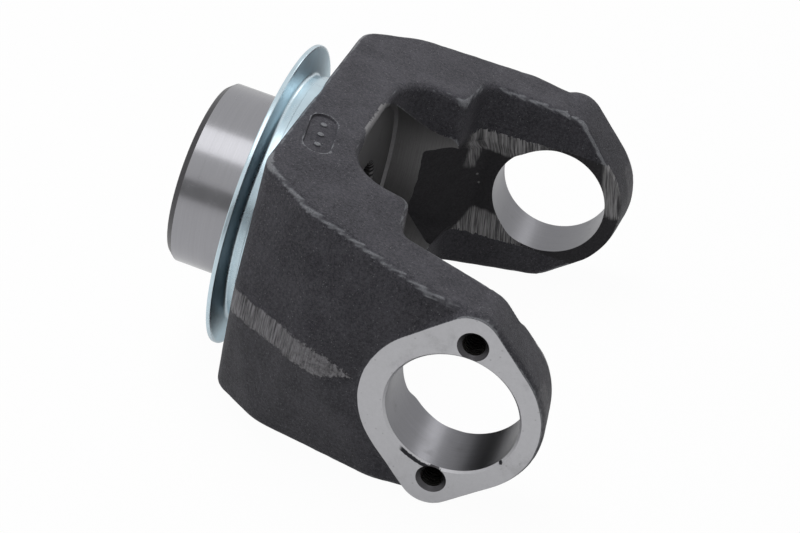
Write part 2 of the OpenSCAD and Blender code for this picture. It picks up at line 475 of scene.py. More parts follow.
class NodeRecipe:
    """Builds one Geometry Nodes tree with named inputs and turns its result into a plain mesh."""

    KINDS = {float: "NodeSocketFloat", int: "NodeSocketInt"}

    def __init__(self, name: str, inputs: dict[str, Union[float, int]]) -> None:
        """Starts the tree.

        Args:
            name: The tree's name.
            inputs: The named inputs and the values that this object uses.
        """
        self.tree = bpy.data.node_groups.new(name, "GeometryNodeTree")
        self.values = inputs
        self.identifiers: dict[str, str] = {}
        self.tree.interface.new_socket("Geometry", in_out="OUTPUT", socket_type="NodeSocketGeometry")
        for key, value in inputs.items():
            kind = self.KINDS[type(value)]
            socket = self.tree.interface.new_socket(key, in_out="INPUT", socket_type=kind)
            self.identifiers[key] = socket.identifier
        self.entry = self.tree.nodes.new("NodeGroupInput")
        self.exit = self.tree.nodes.new("NodeGroupOutput")

    def value(self, name: str) -> bpy.types.NodeSocket:
        """Returns the socket of a named input."""
        return self.entry.outputs[name]

    def node(self, kind: str, settings: Settings = None, links: Links = None) -> bpy.types.Node:
        """Adds a node.

        Args:
            kind: The node's type.
            settings: Its settings, which are set first.
            links: Values or sockets for its inputs, by name or index.

        Returns:
            The node.
        """
        made = self.tree.nodes.new(kind)
        for key, value in (settings or {}).items():
            setattr(made, key, value)
        for key, value in (links or {}).items():
            if isinstance(value, bpy.types.NodeSocket):
                self.tree.links.new(value, made.inputs[key])
            else:
                made.inputs[key].default_value = value
        return made

    def maths(self, operation: str, a: object, b: object = 0.0) -> bpy.types.NodeSocket:
        """Adds a Math node and returns its result."""
        return self.node("ShaderNodeMath", {"operation": operation}, {0: a, 1: b}).outputs[0]

    def vector(self, x: object = 0.0, y: object = 0.0, z: object = 0.0) -> bpy.types.NodeSocket:
        """Adds a Combine XYZ node and returns its vector."""
        return self.node("ShaderNodeCombineXYZ", {}, {"X": x, "Y": y, "Z": z}).outputs[0]

    def made(self, shop: MeshShop, name: str, geometry: bpy.types.NodeSocket,
             material: bpy.types.Material) -> bpy.types.Object:
        """Ends the tree in Realize Instances and Set Material and returns its plain mesh.

        Args:
            shop: Where the object goes.
            name: The object's name.
            geometry: What the tree makes.
            material: The material that the tree sets.

        Returns:
            The new object, with no modifier left.
        """
        real = self.node("GeometryNodeRealizeInstances", {}, {"Geometry": geometry})
        links = {"Geometry": real.outputs[0], "Material": material}
        dressed = self.node("GeometryNodeSetMaterial", {}, links)
        self.tree.links.new(dressed.outputs[0], self.exit.inputs["Geometry"])
        holder = shop.show(name, bpy.data.meshes.new(name))
        modifier = holder.modifiers.new("recipe", "NODES")
        modifier.node_group = self.tree
        for key, value in self.values.items():
            modifier[self.identifiers[key]] = value
        shop.settle(holder)
        return holder


class Signal:
    """A shader socket that takes part in sums written as Python expressions."""

    def __init__(self, sheet: "NodeSheet", socket: bpy.types.NodeSocket) -> None:
        """Wraps a socket of a sheet's tree."""
        self.sheet = sheet
        self.socket = socket

    def _sum(self, operation: str, a: object, b: object) -> "Signal":
        """Adds one Math node for a and b."""
        return self.sheet.signal("ShaderNodeMath", {"operation": operation}, {0: a, 1: b})

    def __add__(self, other: object) -> "Signal":
        """Adds a value or a signal."""
        return self._sum("ADD", self, other)

    def __radd__(self, other: object) -> "Signal":
        """Adds to a value."""
        return self._sum("ADD", other, self)

    def __sub__(self, other: object) -> "Signal":
        """Takes a value or a signal away."""
        return self._sum("SUBTRACT", self, other)

    def __rsub__(self, other: object) -> "Signal":
        """Is taken away from a value."""
        return self._sum("SUBTRACT", other, self)

    def __mul__(self, other: object) -> "Signal":
        """Multiplies by a value or a signal."""
        return self._sum("MULTIPLY", self, other)

    def __rmul__(self, other: object) -> "Signal":
        """Multiplies a value."""
        return self._sum("MULTIPLY", other, self)

    def __pow__(self, other: object) -> "Signal":
        """Raises to a power."""
        return self._sum("POWER", self, other)

    def __abs__(self) -> "Signal":
        """The size without the sign."""
        return self._sum("ABSOLUTE", self, 0.0)

    def most(self, other: object) -> "Signal":
        """The larger of two."""
        return self._sum("MAXIMUM", self, other)

    def rise(self, start: float, end: float) -> "Signal":
        """Runs smoothly from 0 at start to 1 at end, whichever is larger.

        Args:
            start: The value at which the result is 0.
            end: The value at which it is 1.

        Returns:
            The smooth step.
        """
        return self.sheet.signal(
            "ShaderNodeMapRange",
            {"interpolation_type": "SMOOTHSTEP"},
            {"Value": self, "From Min": start, "From Max": end},
        )


class NodeSheet:
    """A shader node tree that is written as Python expressions."""

    def __init__(self, owner: Union[bpy.types.Material, bpy.types.World], end: str) -> None:
        """Starts the tree.

        Args:
            owner: The material or world that the tree belongs to.
            end: The type of its output node.
        """
        owner.use_nodes = True
        self.tree = owner.node_tree
        self.tree.nodes.clear()
        self.output = self.tree.nodes.new(end)

    def node(self, kind: str, settings: Settings = None, links: Links = None) -> bpy.types.Node:
        """Adds a node.

        Args:
            kind: The node's type.
            settings: Its settings, which are set first.
            links: Values, signals or sockets for its inputs, by name or index.

        Returns:
            The node.
        """
        made = self.tree.nodes.new(kind)
        for key, value in (settings or {}).items():
            setattr(made, key, value)
        for key, value in (links or {}).items():
            self.put(made, key, value)
        return made

    def put(self, node: bpy.types.Node, key: Union[str, int], value: object) -> None:
        """Sets or links one input of a node.

        Args:
            node: The node.
            key: The input's name or index.
            value: A number, a colour, a signal or a socket.
        """
        if isinstance(value, Signal):
            self.tree.links.new(value.socket, node.inputs[key])
        elif isinstance(value, bpy.types.NodeSocket):
            self.tree.links.new(value, node.inputs[key])
        elif isinstance(value, tuple) and node.inputs[key].type == "RGBA":
            node.inputs[key].default_value = (*value[:3], 1.0)
        else:
            node.inputs[key].default_value = value

    def signal(self, kind: str, settings: Settings = None, links: Links = None,
               out: Union[str, int] = 0) -> Signal:
        """Adds a node and returns one of its outputs as a signal."""
        return Signal(self, self.node(kind, settings, links).outputs[out])

    def own_frame(self, lie: Lie) -> Signal:
        """Object coordinates turned back into the part's own frame, in millimetres.

        Args:
            lie: How the part lies.

        Returns:
            The place as a vector.
        """
        place = self.signal("ShaderNodeTexCoord", {}, {}, "Object")
        links = {"Vector": place, "Rotation": (0.0, -lie.tilt, 0.0), "Scale": (1 / MM, 1 / MM, 1 / MM)}
        return self.signal("ShaderNodeMapping", {"vector_type": "POINT"}, links)

    def split(self, vector: Signal) -> tuple[Signal, Signal, Signal]:
        """The three parts of a vector."""
        made = self.node("ShaderNodeSeparateXYZ", {}, {"Vector": vector})
        return tuple(Signal(self, made.outputs[k]) for k in range(3))

    def join(self, x: object, y: object, z: object) -> Signal:
        """A vector of three signals or values."""
        return self.signal("ShaderNodeCombineXYZ", {}, {"X": x, "Y": y, "Z": z})

    def noise(self, place: Signal, scale: float, detail: float = 2.0, rough: float = 0.5) -> Signal:
        """Cloudy noise from 0 to 1 around 0.5, with features of about 1 / scale millimetres."""
        links = {"Vector": place, "Scale": scale, "Detail": detail, "Roughness": rough}
        return self.signal("ShaderNodeTexNoise", {}, links, "Fac")

    def cells(self, place: Signal, scale: float, jitter: float = 1.0) -> tuple[Signal, Signal]:
        """Voronoi cells: the distance to the nearest point and that point's random grey.

        Args:
            place: Where the pattern is read.
            scale: How many cells go to a millimetre.
            jitter: How far the points stray, from 0 to 1.

        Returns:
            The distance and the grey.
        """
        links = {"Vector": place, "Scale": scale, "Randomness": jitter}
        made = self.node("ShaderNodeTexVoronoi", {}, links)
        grey = self.signal("ShaderNodeSeparateColor", {}, {"Color": made.outputs["Color"]})
        return Signal(self, made.outputs["Distance"]), grey

    def attribute(self, name: str) -> Signal:
        """Reads a float attribute of the mesh."""
        return self.signal("ShaderNodeAttribute", {"attribute_name": name}, {}, "Fac")

    def blend(self, factor: object, a: object, b: object) -> Signal:
        """Mixes two colours.

        Args:
            factor: How much of b shows, from 0 to 1.
            a: The first colour.
            b: The second colour.

        Returns:
            The mixed colour.
        """
        made = self.node("ShaderNodeMix", {"data_type": "RGBA", "clamp_factor": True})
        self.put(made, 0, factor)
        self.put(made, 6, a)
        self.put(made, 7, b)
        return Signal(self, made.outputs[2])

    def shade(self, colour: object, factor: Signal) -> Signal:
        """Multiplies a colour by a grey signal.

        Args:
            colour: The colour.
            factor: The grey.

        Returns:
            The shaded colour.
        """
        made = self.node("ShaderNodeMix", {"data_type": "RGBA", "blend_type": "MULTIPLY"})
        made.inputs[0].default_value = 1.0
        self.put(made, 6, colour)
        self.put(made, 7, self.signal("ShaderNodeCombineColor", {}, {0: factor, 1: factor, 2: factor}))
        return Signal(self, made.outputs[2])

    def bump(self, height: Signal, distance_mm: float, strength: float = 1.0) -> Signal:
        """Turns a height into a normal. A height of 1 stands distance_mm high."""
        links = {"Height": height, "Distance": distance_mm * MM, "Strength": strength}
        return self.signal("ShaderNodeBump", {}, links, "Normal")

    def show(self, shader: bpy.types.Node) -> None:
        """Links a shader to the tree's output."""
        self.tree.links.new(shader.outputs[0], self.output.inputs["Surface"])


class FinishSheet(NodeSheet):
    """The node tree of one material."""

    def __init__(self, name: str) -> None:
        """Starts a material."""
        self.material = bpy.data.materials.new(name)
        super().__init__(self.material, "ShaderNodeOutputMaterial")

    def finish(self, **sockets: object) -> bpy.types.Material:
        """Ends the sheet in a Principled shader.

        Args:
            **sockets: The shader's inputs, with underscores for spaces.

        Returns:
            The material.
        """
        shader = self.node("ShaderNodeBsdfPrincipled")
        for key, value in sockets.items():
            self.put(shader, key.replace("_", " "), value)
        self.show(shader)
        return self.material


@dataclass(frozen=True)
class YokeSizes:
    """Sizes in millimetres that several operations on the yoke share."""

    half_span: float
    bore_r: float
    tap_offset: float
    journal_r: float
    hub_reach: float
    nut_seat: float
    spline_tip_r: float
    ear_t: float = 24.7
    bore_break: float = 0.8
    ear_r: float = 34.6
    ear_set_back: float = 1.2
    hub_face: float = 97.0
    hub_face_lean: float = 2.4
    seat_stand: float = 0.4
    shoulder_r: float = 49.8
    shoulder_len: float = 6.6
    window_half: float = 22.0
    ear_top: float = 41.6
    ear_bottom: float = 40.4
    top_slope: float = 0.121
    rib_reach: float = 42.0
    edge_r: float = 2.8
    recess_half: float = 66.4
    recess_run: float = 3.7
    recess_flare: float = 0.165
    pocket_draft_deg: float = 3.5
    seat_w: float = 2.4
    nut_bore_r: float = 51.0
    nut_front: float = 20.0
    tap_depth: float = 19.0

    @classmethod
    def from_record(cls, record: dict) -> "YokeSizes":
        """Reads the fitted sizes from the record's mounts.

        Args:
            record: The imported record.

        Returns:
            The shared sizes.
        """
        bore = mount(record, "cross_bore")["dims"]
        return cls(
            half_span=bore["length_mm"] / 2,
            bore_r=bore["r_mm"],
            tap_offset=mount(record, "near_ear_bolts")["dims"]["pcd_mm"] / 2,
            journal_r=mount(record, "seal_journal")["dims"]["r_mm"],
            hub_reach=cls._reach(mount(record, "hub_end_face")),
            nut_seat=cls._reach(mount(record, "nut_seat")),
            spline_tip_r=mount(record, "spline")["dims"]["r_mm"],
        )

    @staticmethod
    def _reach(face: dict) -> float:
        """How far along the shaft a face lies from the cross bore axis."""
        return abs(sum(p * a for p, a in zip(face["pos_m"], face["axis"]))) / MM

    @property
    def land_half(self) -> float:
        """Half the distance between the inner faces of the ears."""
        return self.half_span - self.ear_t

    @property
    def seat_reach(self) -> float:
        """Distance from the cross bore axis to the slinger's seat."""
        return self.hub_face + self.seat_stand

    @property
    def seat_r(self) -> float:
        """Radius of the turned seat that the slinger stands against."""
        return self.shoulder_r + self.seat_w

    def pocket_taper(self, height: float) -> float:
        """How far the drafted fork pocket stands out from its rim at a height, less than 0 below it.

        Args:
            height: The height over the parting line.

        Returns:
            The distance, measured in plan.
        """
        rim_h = self.ear_top + self.top_slope * self.rib_reach - self.edge_r
        return (height - rim_h) * math.tan(math.radians(self.pocket_draft_deg))


@dataclass
class Forging:
    """The forged blank: two drafted halves, two ears and the two halves of the fork pocket."""

    sizes: YokeSizes
    shop: MeshShop
    hub_half: float = 50.0
    corner_half: float = 75.7
    corner_run: float = 5.3
    corner_r: float = 11.0
    arm_run: float = 41.5
    arm_r: float = 34.0
    pad_rise: float = 0.85
    pad_flow_r: float = 200.0
    pad_lap: float = 6.0
    arm_set_in: float = 0.8
    corner_draft: float = 13.5
    arm_draft: float = 15.2
    ear_draft: float = 1.4
    top_corner_r: float = 12.0
    top_arm_back: float = 17.0
    top_arm_r: float = 28.0
    top_ear_in: float = 12.0
    top_ear_r: float = 18.0
    top_end: float = 2.0
    flash_half: float = 4.0
    lobe_r: float = 12.4
    ear_steps: int = 40
    lobe_steps: int = 24
    ear_root: float = 8.0
    ear_taper: float = 1.8
    face_cut: float = 1.1
    face_round: float = 0.4
    stock: float = 1.4
    pocket_half: float = 43.0
    pocket_reach: float = 68.3
    pocket_back_r: float = 20.0
    rib_r: float = 4.0
    recess_r: float = 7.0
    floor_over_window: float = 0.2
    land_stock: float = 0.4
    land_top: float = 25.0
    shelf_rise: float = 6.0
    clear_h: float = 66.0
    fork_end: float = 60.0
    grain: float = 1.05
    soften: int = 3
    soften_by: float = 0.5
    ripple: float = 0.09
    ripple_run: float = 9.0
    triangles: int = 120000
    edge_angles: tuple[float, ...] = (0.0, 18.0, 36.0, 54.0, 72.0, 90.0)

    def build(self) -> bpy.types.Object:
        """Forges the blank and gives its skin the soft edges and slight waves of a forging.

        Returns:
            The blank, in the yoke's own frame.
        """
        body = self._blank()
        self.shop.combine(body, [self._ear(side) for side in (-1, 1)], Cut.UNITE)
        self.shop.combine(body, [self._pocket(side) for side in (-1, 1)], Cut.REMOVE)
        self._skin(body)
        return body

    def _on_face(self, points: Iterable[Point2], height: float, drop: float) -> Ring:
        """Lays points a little below a face that slopes toward the ears."""
        return [(x, y, height - self.sizes.top_slope * x - drop) for x, y in points]

    def _forged_edge(self, outline: Outline, height: float, turn: int) -> list[Ring]:
        """Rings of a rounded edge, which draws in around the body and opens out around a pocket.

        Args:
            outline: The outline from which the edge starts.
            height: The face's height over the cross bore axis.
            turn: -1 around the body and 1 around a pocket.

        Returns:
            The rings, lowest first.
        """
        edge_r = self.sizes.edge_r
        rings = []
        for angle in self.edge_angles:
            a = math.radians(angle)
            points = outline.grown(turn * edge_r * (1 - math.cos(a))).points()
            rings.append(self._on_face(points, height, edge_r * (1 - math.sin(a))))
        return rings

    def _blank(self) -> bpy.types.Object:
        """The outer form: one drafted half up and one down from the parting line.

        Returns:
            The blank without its ears.
        """
        s = self.sizes
        parting_half = s.half_span - self.pad_rise
        arm_half = parting_half - self.arm_set_in
        parting = Outline.mirrored([
            (-s.hub_face, -self.hub_half, 0),
            (-s.hub_face + self.corner_run, -self.corner_half, self.corner_r),
            (-s.hub_face + self.arm_run, -arm_half, self.arm_r),
            (-s.ear_r, -parting_half, self.pad_flow_r),
            (s.ear_r - self.pad_lap, -parting_half, 0),
        ]).points()
        arm_x = -s.hub_face + self.arm_run - self.top_arm_back
        edge = Outline.mirrored([
            (-s.hub_face + s.hub_face_lean, -self.corner_half + self.corner_draft, self.top_corner_r),
            (arm_x, -arm_half + self.arm_draft, self.top_arm_r),
            (-s.ear_r + self.top_ear_in, -parting_half + self.ear_draft, self.top_ear_r),
            (-self.top_end, -parting_half + self.ear_draft, 0),
        ])
        rings = self._forged_edge(edge, s.ear_top, -1)
        rings += [level(parting, z) for z in (-self.flash_half, self.flash_half)]
        rings += [[(x, y, -z) for x, y, z in ring] for ring in self._forged_edge(edge, s.ear_bottom, -1)]
        return self.shop.hull("blank", [p for ring in rings for p in ring])

    def _ear_outline(self, inset: float) -> list[Point2]:
        """An ear seen along the bores: a round end with two lobes, drawn in by inset.

        Args:
            inset: How far the outline is drawn in.

        Returns:
            The points, as (x, z) pairs.
        """
        s = self.sizes
        wrap = math.acos((s.ear_r - self.lobe_r) / s.tap_offset)
        quarter = math.pi / 2
        arcs = [
            (0.0, s.ear_r, wrap - quarter, quarter - wrap, self.ear_steps),
            (s.tap_offset, self.lobe_r, quarter - wrap, quarter + wrap, self.lobe_steps),
            (0.0, s.ear_r, quarter + wrap, 3 * quarter - wrap, self.ear_steps),
            (-s.tap_offset, self.lobe_r, 3 * quarter - wrap, 3 * quarter + wrap, self.lobe_steps),
        ]
        points = []
        for centre, radius, start, end, steps in arcs:
            for i in range(steps + 1):
                a = start + (end - start) * i / steps
                r = radius - inset
                points.append((-s.ear_set_back + r * math.cos(a), centre + r * math.sin(a)))
        return points

    def _ear(self, side: int) -> bpy.types.Object:
        """One ear with the stock that its milled face is cut from.

        Args:
            side: -1 for the near ear and 1 for the far one.

        Returns:
            The ear, ready to be united with the blank.
        """
        s = self.sizes
        rings = [(s.land_half - self.ear_root, self.ear_taper + s.edge_r)]
        for angle in reversed(self.edge_angles):
            a = math.radians(angle)
            along = s.land_half + s.edge_r * (1 - math.sin(a))
            rings.append((along, self.ear_taper + s.edge_r * (1 - math.cos(a))))
        rings.append((s.half_span - s.edge_r, 0.0))
        rings.append((s.half_span - self.face_cut, self.face_cut * self.face_round))
        rings.append((s.half_span, self.face_cut))
        rings.append((s.half_span + self.stock, self.face_cut + s.edge_r / 2))
        points = [(x, side * along, z) for along, inset in rings for x, z in self._ear_outline(inset)]
        return self.shop.hull("ear", points)

    def _pocket(self, side: int) -> bpy.types.Object:
        """One drafted half of the fork opening, from the trimmed window up past the face.

        Args:
            side: 1 above the parting line and -1 below it.

        Returns:
            The cutter.
        """
        s = self.sizes
        flare_from = s.recess_run - s.rib_reach
        rim = Outline.mirrored([
            (-self.pocket_reach, -self.pocket_half, self.pocket_back_r),
            (-s.rib_reach, -self.pocket_half, self.rib_r),
            (flare_from, -s.recess_half, self.recess_r),
            (0, -s.recess_half + s.recess_flare * flare_from, 0),
            (self.fork_end, -s.recess_half + s.recess_flare * (flare_from - self.fork_end), 0),
        ])
        rings = []
        for height, stock in (
            (s.window_half - self.floor_over_window, self.land_stock),
            (self.land_top, self.land_stock),
            (self.land_top + self.shelf_rise, -self.land_stock),
        ):
            walls = rim.grown(s.pocket_taper(height)).points()
            rings.append(level(self._short_of_land(walls, stock), height))
        rings += self._forged_edge(rim, s.ear_top if side > 0 else s.ear_bottom, 1)
        rings.append(level(rim.grown(s.edge_r).points(), self.clear_h))
        return self.shop.loft("pocket", [[(x, y, side * z) for x, y, z in ring] for ring in rings])

    def _short_of_land(self, points: Iterable[Point2], stock: float) -> list[Point2]:
        """Leaves stock on the flat lands that the ears' bores run out through."""
        half = self.sizes.land_half - stock
        return [(x, max(-half, min(half, y))) for x, y in points]

    def _skin(self, body: bpy.types.Object) -> None:
        """Remeshes the blank evenly, softens its edges and gives it a forging's slight waves.

        Args:
            body: The blank that changes.
        """
        even = body.modifiers.new("even", "REMESH")
        even.mode = "VOXEL"
        even.voxel_size = self.grain
        soft = body.modifiers.new("soft", "SMOOTH")
        soft.factor = self.soften_by
        soft.iterations = self.soften
        self.shop.settle(body)
        self.shop.ripple(body, self.ripple, self.ripple_run)
        lean = body.modifiers.new("lean", "DECIMATE")
        lean.ratio = min(1.0, self.triangles / (2 * len(body.data.polygons)))
        self.shop.settle(body)


@dataclass
class Machining:
    """The trimming and machining of the forging, and the hub that is turned on it."""

    sizes: YokeSizes
    shop: MeshShop
    over: float = 3.0
    past: float = 1.0
    window_reach: float = 55.0
    window_back_half: float = 50.5
    window_past_ear: float = 25.0
    window_step: float = 9.0
    window_back_in: float = 5.0
    land_z: float = 15.0
    land_top: float = 25.3
    window_over: float = 1.5
    window_bite: float = 0.15
    flush_x: float = -1.4
    tear_grain: float = 1.3
    tear: float = 0.4
    tear_run: float = 4.5
    tear_end: float = 2.0
    land_reach: float = 32.0
    nut_corner: float = 1.4
    mill_half: float = 60.0
    bore_back: float = 10.0
    tap_r: float = 4.25
    tap_sink_r: float = 5.75
    tap_steps: int = 64
    drill_point: float = 0.55
    thread_pitch: float = 1.5
    thread_turns: float = 9.5
    thread_steps: int = 32
    thread_depth: float = 0.8
    thread_out: float = 0.05
    thread_set_in: float = 0.4
    spline_teeth: int = 46
    spline_depth: float = 1.9
    spline_over: float = 0.8
    space_wide: float = 0.66
    space_narrow: float = 0.34
    spline_chamfer: float = 1.2
    spline_run_out: float = 0.7
    hub_root: float = 1.5
    shoulder_break: float = 0.6
    chamfer_run: float = 2.6
    chamfer_drop: float = 2.2

    def build(self, body: bpy.types.Object) -> None:
        """Trims the blank and machines it.

        Args:
            body: The forged blank.
        """
        self.shop.combine(body, [self._hub()], Cut.UNITE)
        self.shop.combine(body, [self._fork_cutter()], Cut.REMOVE)
        self.shop.combine(body, [self._spline_spaces()], Cut.REMOVE)
        for side in (-1, 1):
            self.shop.combine(body, [self._ear_cutter(side)], Cut.REMOVE)

    def _hub(self) -> bpy.types.Object:
        """The turned seat, shoulder and journal.

        Returns:
            The hub, ready to be united with the blank.
        """
        s = self.sizes
        root = s.hub_face - s.hub_face_lean - self.hub_root
        shoulder_end = s.seat_reach + s.shoulder_len
        return self.shop.turned("hub", [
            (0, root),
            (s.seat_r, root),
            (s.seat_r, s.seat_reach),
            (s.shoulder_r, s.seat_reach),
            (s.shoulder_r, shoulder_end - self.shoulder_break),
            (s.shoulder_r - self.shoulder_break, shoulder_end),
            (s.journal_r, shoulder_end),
            (s.journal_r, s.hub_reach - self.chamfer_run),
            (s.journal_r - self.chamfer_drop, s.hub_reach),
            (0, s.hub_reach),
        ])

    def _fork_cutter(self) -> bpy.types.Object:
        """The trimmed window, the nut's counterbore and the splined bore, as one cutter.

        Returns:
            The cutter.
        """
        s = self.sizes
        cutter = self._window()
        counterbore = self.shop.turned("counterbore", [
            (0, s.nut_front),
            (s.nut_bore_r, s.nut_front),
            (s.nut_bore_r, s.nut_seat - self.nut_corner),
            (s.nut_bore_r - self.nut_corner, s.nut_seat),
            (0, s.nut_seat),
        ])
        mouth = s.spline_tip_r + self.spline_chamfer
        bore = self.shop.turned("bore", [
            (0, s.nut_seat - self.past),
            (mouth + self.past, s.nut_seat - self.past),
            (s.spline_tip_r, s.nut_seat + self.spline_chamfer),
            (s.spline_tip_r, s.hub_reach - self.spline_chamfer),
            (mouth + self.past, s.hub_reach + self.past),
            (0, s.hub_reach + self.past),
        ])
        self.shop.combine(cutter, [counterbore, bore], Cut.UNITE)
        return cutter

    def _window(self) -> bpy.types.Object:
        """The window that is sheared through, whose walls lean out to meet the drafted pocket.

        Returns:
            The cutter, with its slightly torn walls.
        """
        s = self.sizes
        end = s.ear_r + self.window_past_ear
        step = self.window_step
        back_in = self.window_back_in
        stations = [
            (self.land_z, 0.0, 0.0),
            (s.window_half, step, back_in),
            (s.window_half + self.window_over, step, 2 * back_in),
            (self.land_top, 2 * step, 2 * back_in),
        ]
        upper = []
        for height, back_step, back_draw in stations:
            leaned = self._wall(-self.land_reach, height) + self.window_bite
            wall = s.land_half if height == self.land_z else leaned
            upper.append(level(Outline.mirrored([
                (-self.window_reach + back_step, -self.window_back_half + back_draw, 0),
                (-self.land_reach, -wall, 0),
                (self.flush_x, -s.land_half, 0),
                (end, -s.land_half, 0),
            ]).points(), height))
        rings = [[(x, y, -z) for x, y, z in ring] for ring in reversed(upper)] + upper
        window = self.shop.loft("window", rings)
        even = window.modifiers.new("even", "REMESH")
        even.mode = "VOXEL"
        even.voxel_size = self.tear_grain
        self.shop.settle(window)
        self.shop.ripple(window, self.tear, self.tear_run, -self.land_reach - self.tear_end)
        return window

    def _wall(self, x: float, height: float) -> float:
        """Half the width of the drafted pocket beside the ears, at a height over the parting line.

        Args:
            x: The place along the shaft axis.
            height: The height over the parting line.

        Returns:
            The half width.
        """
        s = self.sizes
        rim_half = s.recess_half + s.recess_flare * (x + s.rib_reach - s.recess_run)
        return rim_half + s.pocket_taper(height)

    def _spline_spaces(self) -> bpy.types.Object:
        """The spaces between the spline teeth: one bar with drawn-in sides for each, on a circle.

        Returns:
            The cutter.
        """
        s = self.sizes
        pitch = 2 * math.pi / self.spline_teeth
        recipe = NodeRecipe("spline_spaces", {
            "Teeth": self.spline_teeth,
            "Pitch angle": pitch,
            "Middle radius": s.spline_tip_r + (self.spline_depth - self.spline_over) / 2,
            "Depth": self.spline_depth + self.spline_over,
            "Wide": s.spline_tip_r * pitch * self.space_wide,
            "Narrow": s.spline_tip_r * pitch * self.space_narrow,
            "Length": s.hub_reach - s.nut_seat + 2 * self.spline_run_out,
        })
        across = recipe.node(
            "GeometryNodeCurvePrimitiveQuadrilateral",
            {"mode": "TRAPEZOID"},
            {
                "Height": recipe.value("Depth"),
                "Bottom Width": recipe.value("Wide"),
                "Top Width": recipe.value("Narrow"),
            },
        )
        along = recipe.node("GeometryNodeCurvePrimitiveLine")
        recipe.tree.links.new(recipe.vector(z=recipe.value("Length")), along.inputs["End"])
        bar = recipe.node(
            "GeometryNodeCurveToMesh",
            {},
            {"Curve": along.outputs[0], "Profile Curve": across.outputs[0], "Fill Caps": True},
        )
        points = recipe.node(
            "GeometryNodeMeshLine", {}, {"Count": recipe.value("Teeth"), "Offset": (0.0, 0.0, 0.0)}
        )
        index = recipe.node("GeometryNodeInputIndex")
        place = recipe.maths("MULTIPLY", index.outputs[0], recipe.value("Pitch angle"))
        shifted = recipe.node(
            "GeometryNodeTransform",
            {},
            {"Geometry": bar.outputs[0], "Translation": recipe.vector(y=recipe.value("Middle radius"))},
        )
        ring = recipe.node(
            "GeometryNodeInstanceOnPoints",
            {},
            {"Points": points.outputs[0], "Instance": shifted.outputs[0], "Rotation": recipe.vector(z=place)},
        )
        made = recipe.made(self.shop, "spline_spaces", ring.outputs[0], self.plain())
        start = Matrix.Translation((self.spline_run_out - s.nut_seat, 0, 0))
        return self.shop.closed(self.shop.move(made, start @ Matrix.Rotation(-math.pi / 2, 4, "Y")))

    def _ear_cutter(self, side: int) -> bpy.types.Object:
        """One ear's milling cut with its cross bore and two tapped holes, as one cutter.

        Args:
            side: -1 for the near ear and 1 for the far one.

        Returns:
            The cutter.
        """
        s = self.sizes
        half = self.mill_half
        face = self.shop.box("mill", (-half, s.half_span, -half), (half, s.half_span + self.over, half))
        bore = self._aimed(self.shop.turned("cross_bore", [
            (0, s.land_half - self.bore_back),
            (s.bore_r, s.land_half - self.bore_back),
            (s.bore_r, s.half_span - s.bore_break),
            (s.bore_r + s.bore_break + self.past, s.half_span + self.past),
            (0, s.half_span + self.past),
        ]))
        tools = [bore]
        for place in (-1, 1):
            tools += [self._tapped_hole(place), self._thread(place)]
        self.shop.combine(face, tools, Cut.UNITE)
        turn = Matrix.Identity(4) if side > 0 else Matrix.Rotation(math.pi, 4, "X")
        return self.shop.move(face, turn)

    def _aimed(self, tool: bpy.types.Object, z: float = 0.0) -> bpy.types.Object:
        """Turns a tool from the shaft's direction to the +Y ear's, at a height."""
        return self.shop.move(tool, Matrix.Translation((0, 0, z)) @ Matrix.Rotation(-math.pi / 2, 4, "Z"))

    def _tapped_hole(self, place: int) -> bpy.types.Object:
        """A drilled hole with its point and countersink.

        Args:
            place: -1 for the lower hole of the +Y ear and 1 for its upper one.

        Returns:
            The cutter, at the +Y ear.
        """
        s = self.sizes
        sink = self.tap_sink_r - self.tap_r
        hole = self.shop.turned("tapped_hole", [
            (0, s.half_span - s.tap_depth - self.tap_r * self.drill_point),
            (self.tap_r, s.half_span - s.tap_depth),
            (self.tap_r, s.half_span - sink),
            (self.tap_sink_r + self.past, s.half_span + self.past),
            (0, s.half_span + self.past),
        ], steps=self.tap_steps)
        return self._aimed(hole, place * s.tap_offset)

    def _thread(self, place: int) -> bpy.types.Object:
        """The helical groove of a tapped hole, swept along a helix.

        Args:
            place: -1 for the lower hole of the +Y ear and 1 for its upper one.

        Returns:
            The cutter, at the +Y ear.
        """
        s = self.sizes
        recipe = NodeRecipe("thread_groove", {
            "Turns": self.thread_turns,
            "Steps per turn": self.thread_steps,
            "Radius": self.tap_r + self.thread_out,
            "Length": self.thread_turns * self.thread_pitch,
            "Groove": self.thread_depth,
        })
        helix = recipe.node(
            "GeometryNodeCurveSpiral",
            {},
            {
                "Resolution": recipe.value("Steps per turn"),
                "Rotations": recipe.value("Turns"),
                "Start Radius": recipe.value("Radius"),
                "End Radius": recipe.value("Radius"),
                "Height": recipe.value("Length"),
            },
        )
        upright = recipe.node("GeometryNodeSetCurveNormal", {"mode": "Z_UP"}, {"Curve": helix.outputs[0]})
        vee = recipe.node(
            "GeometryNodeCurvePrimitiveCircle", {}, {"Resolution": 3, "Radius": recipe.value("Groove")}
        )
        groove = recipe.node(
            "GeometryNodeCurveToMesh",
            {},
            {"Curve": upright.outputs[0], "Profile Curve": vee.outputs[0], "Fill Caps": True},
        )
        made = recipe.made(self.shop, "thread_groove", groove.outputs[0], self.plain())
        run = self.thread_turns * self.thread_pitch
        start = s.half_span - (self.tap_sink_r - self.tap_r) - run - self.thread_set_in
        turn = Matrix.Translation((0, start, place * s.tap_offset)) @ Matrix.Rotation(-math.pi / 2, 4, "X")
        return self.shop.closed(self.shop.move(made, turn))

    @staticmethod
    def plain() -> bpy.types.Material:
        """The bare material of a cutting tool, which never shows."""
        return bpy.data.materials.get("tool") or bpy.data.materials.new("tool")


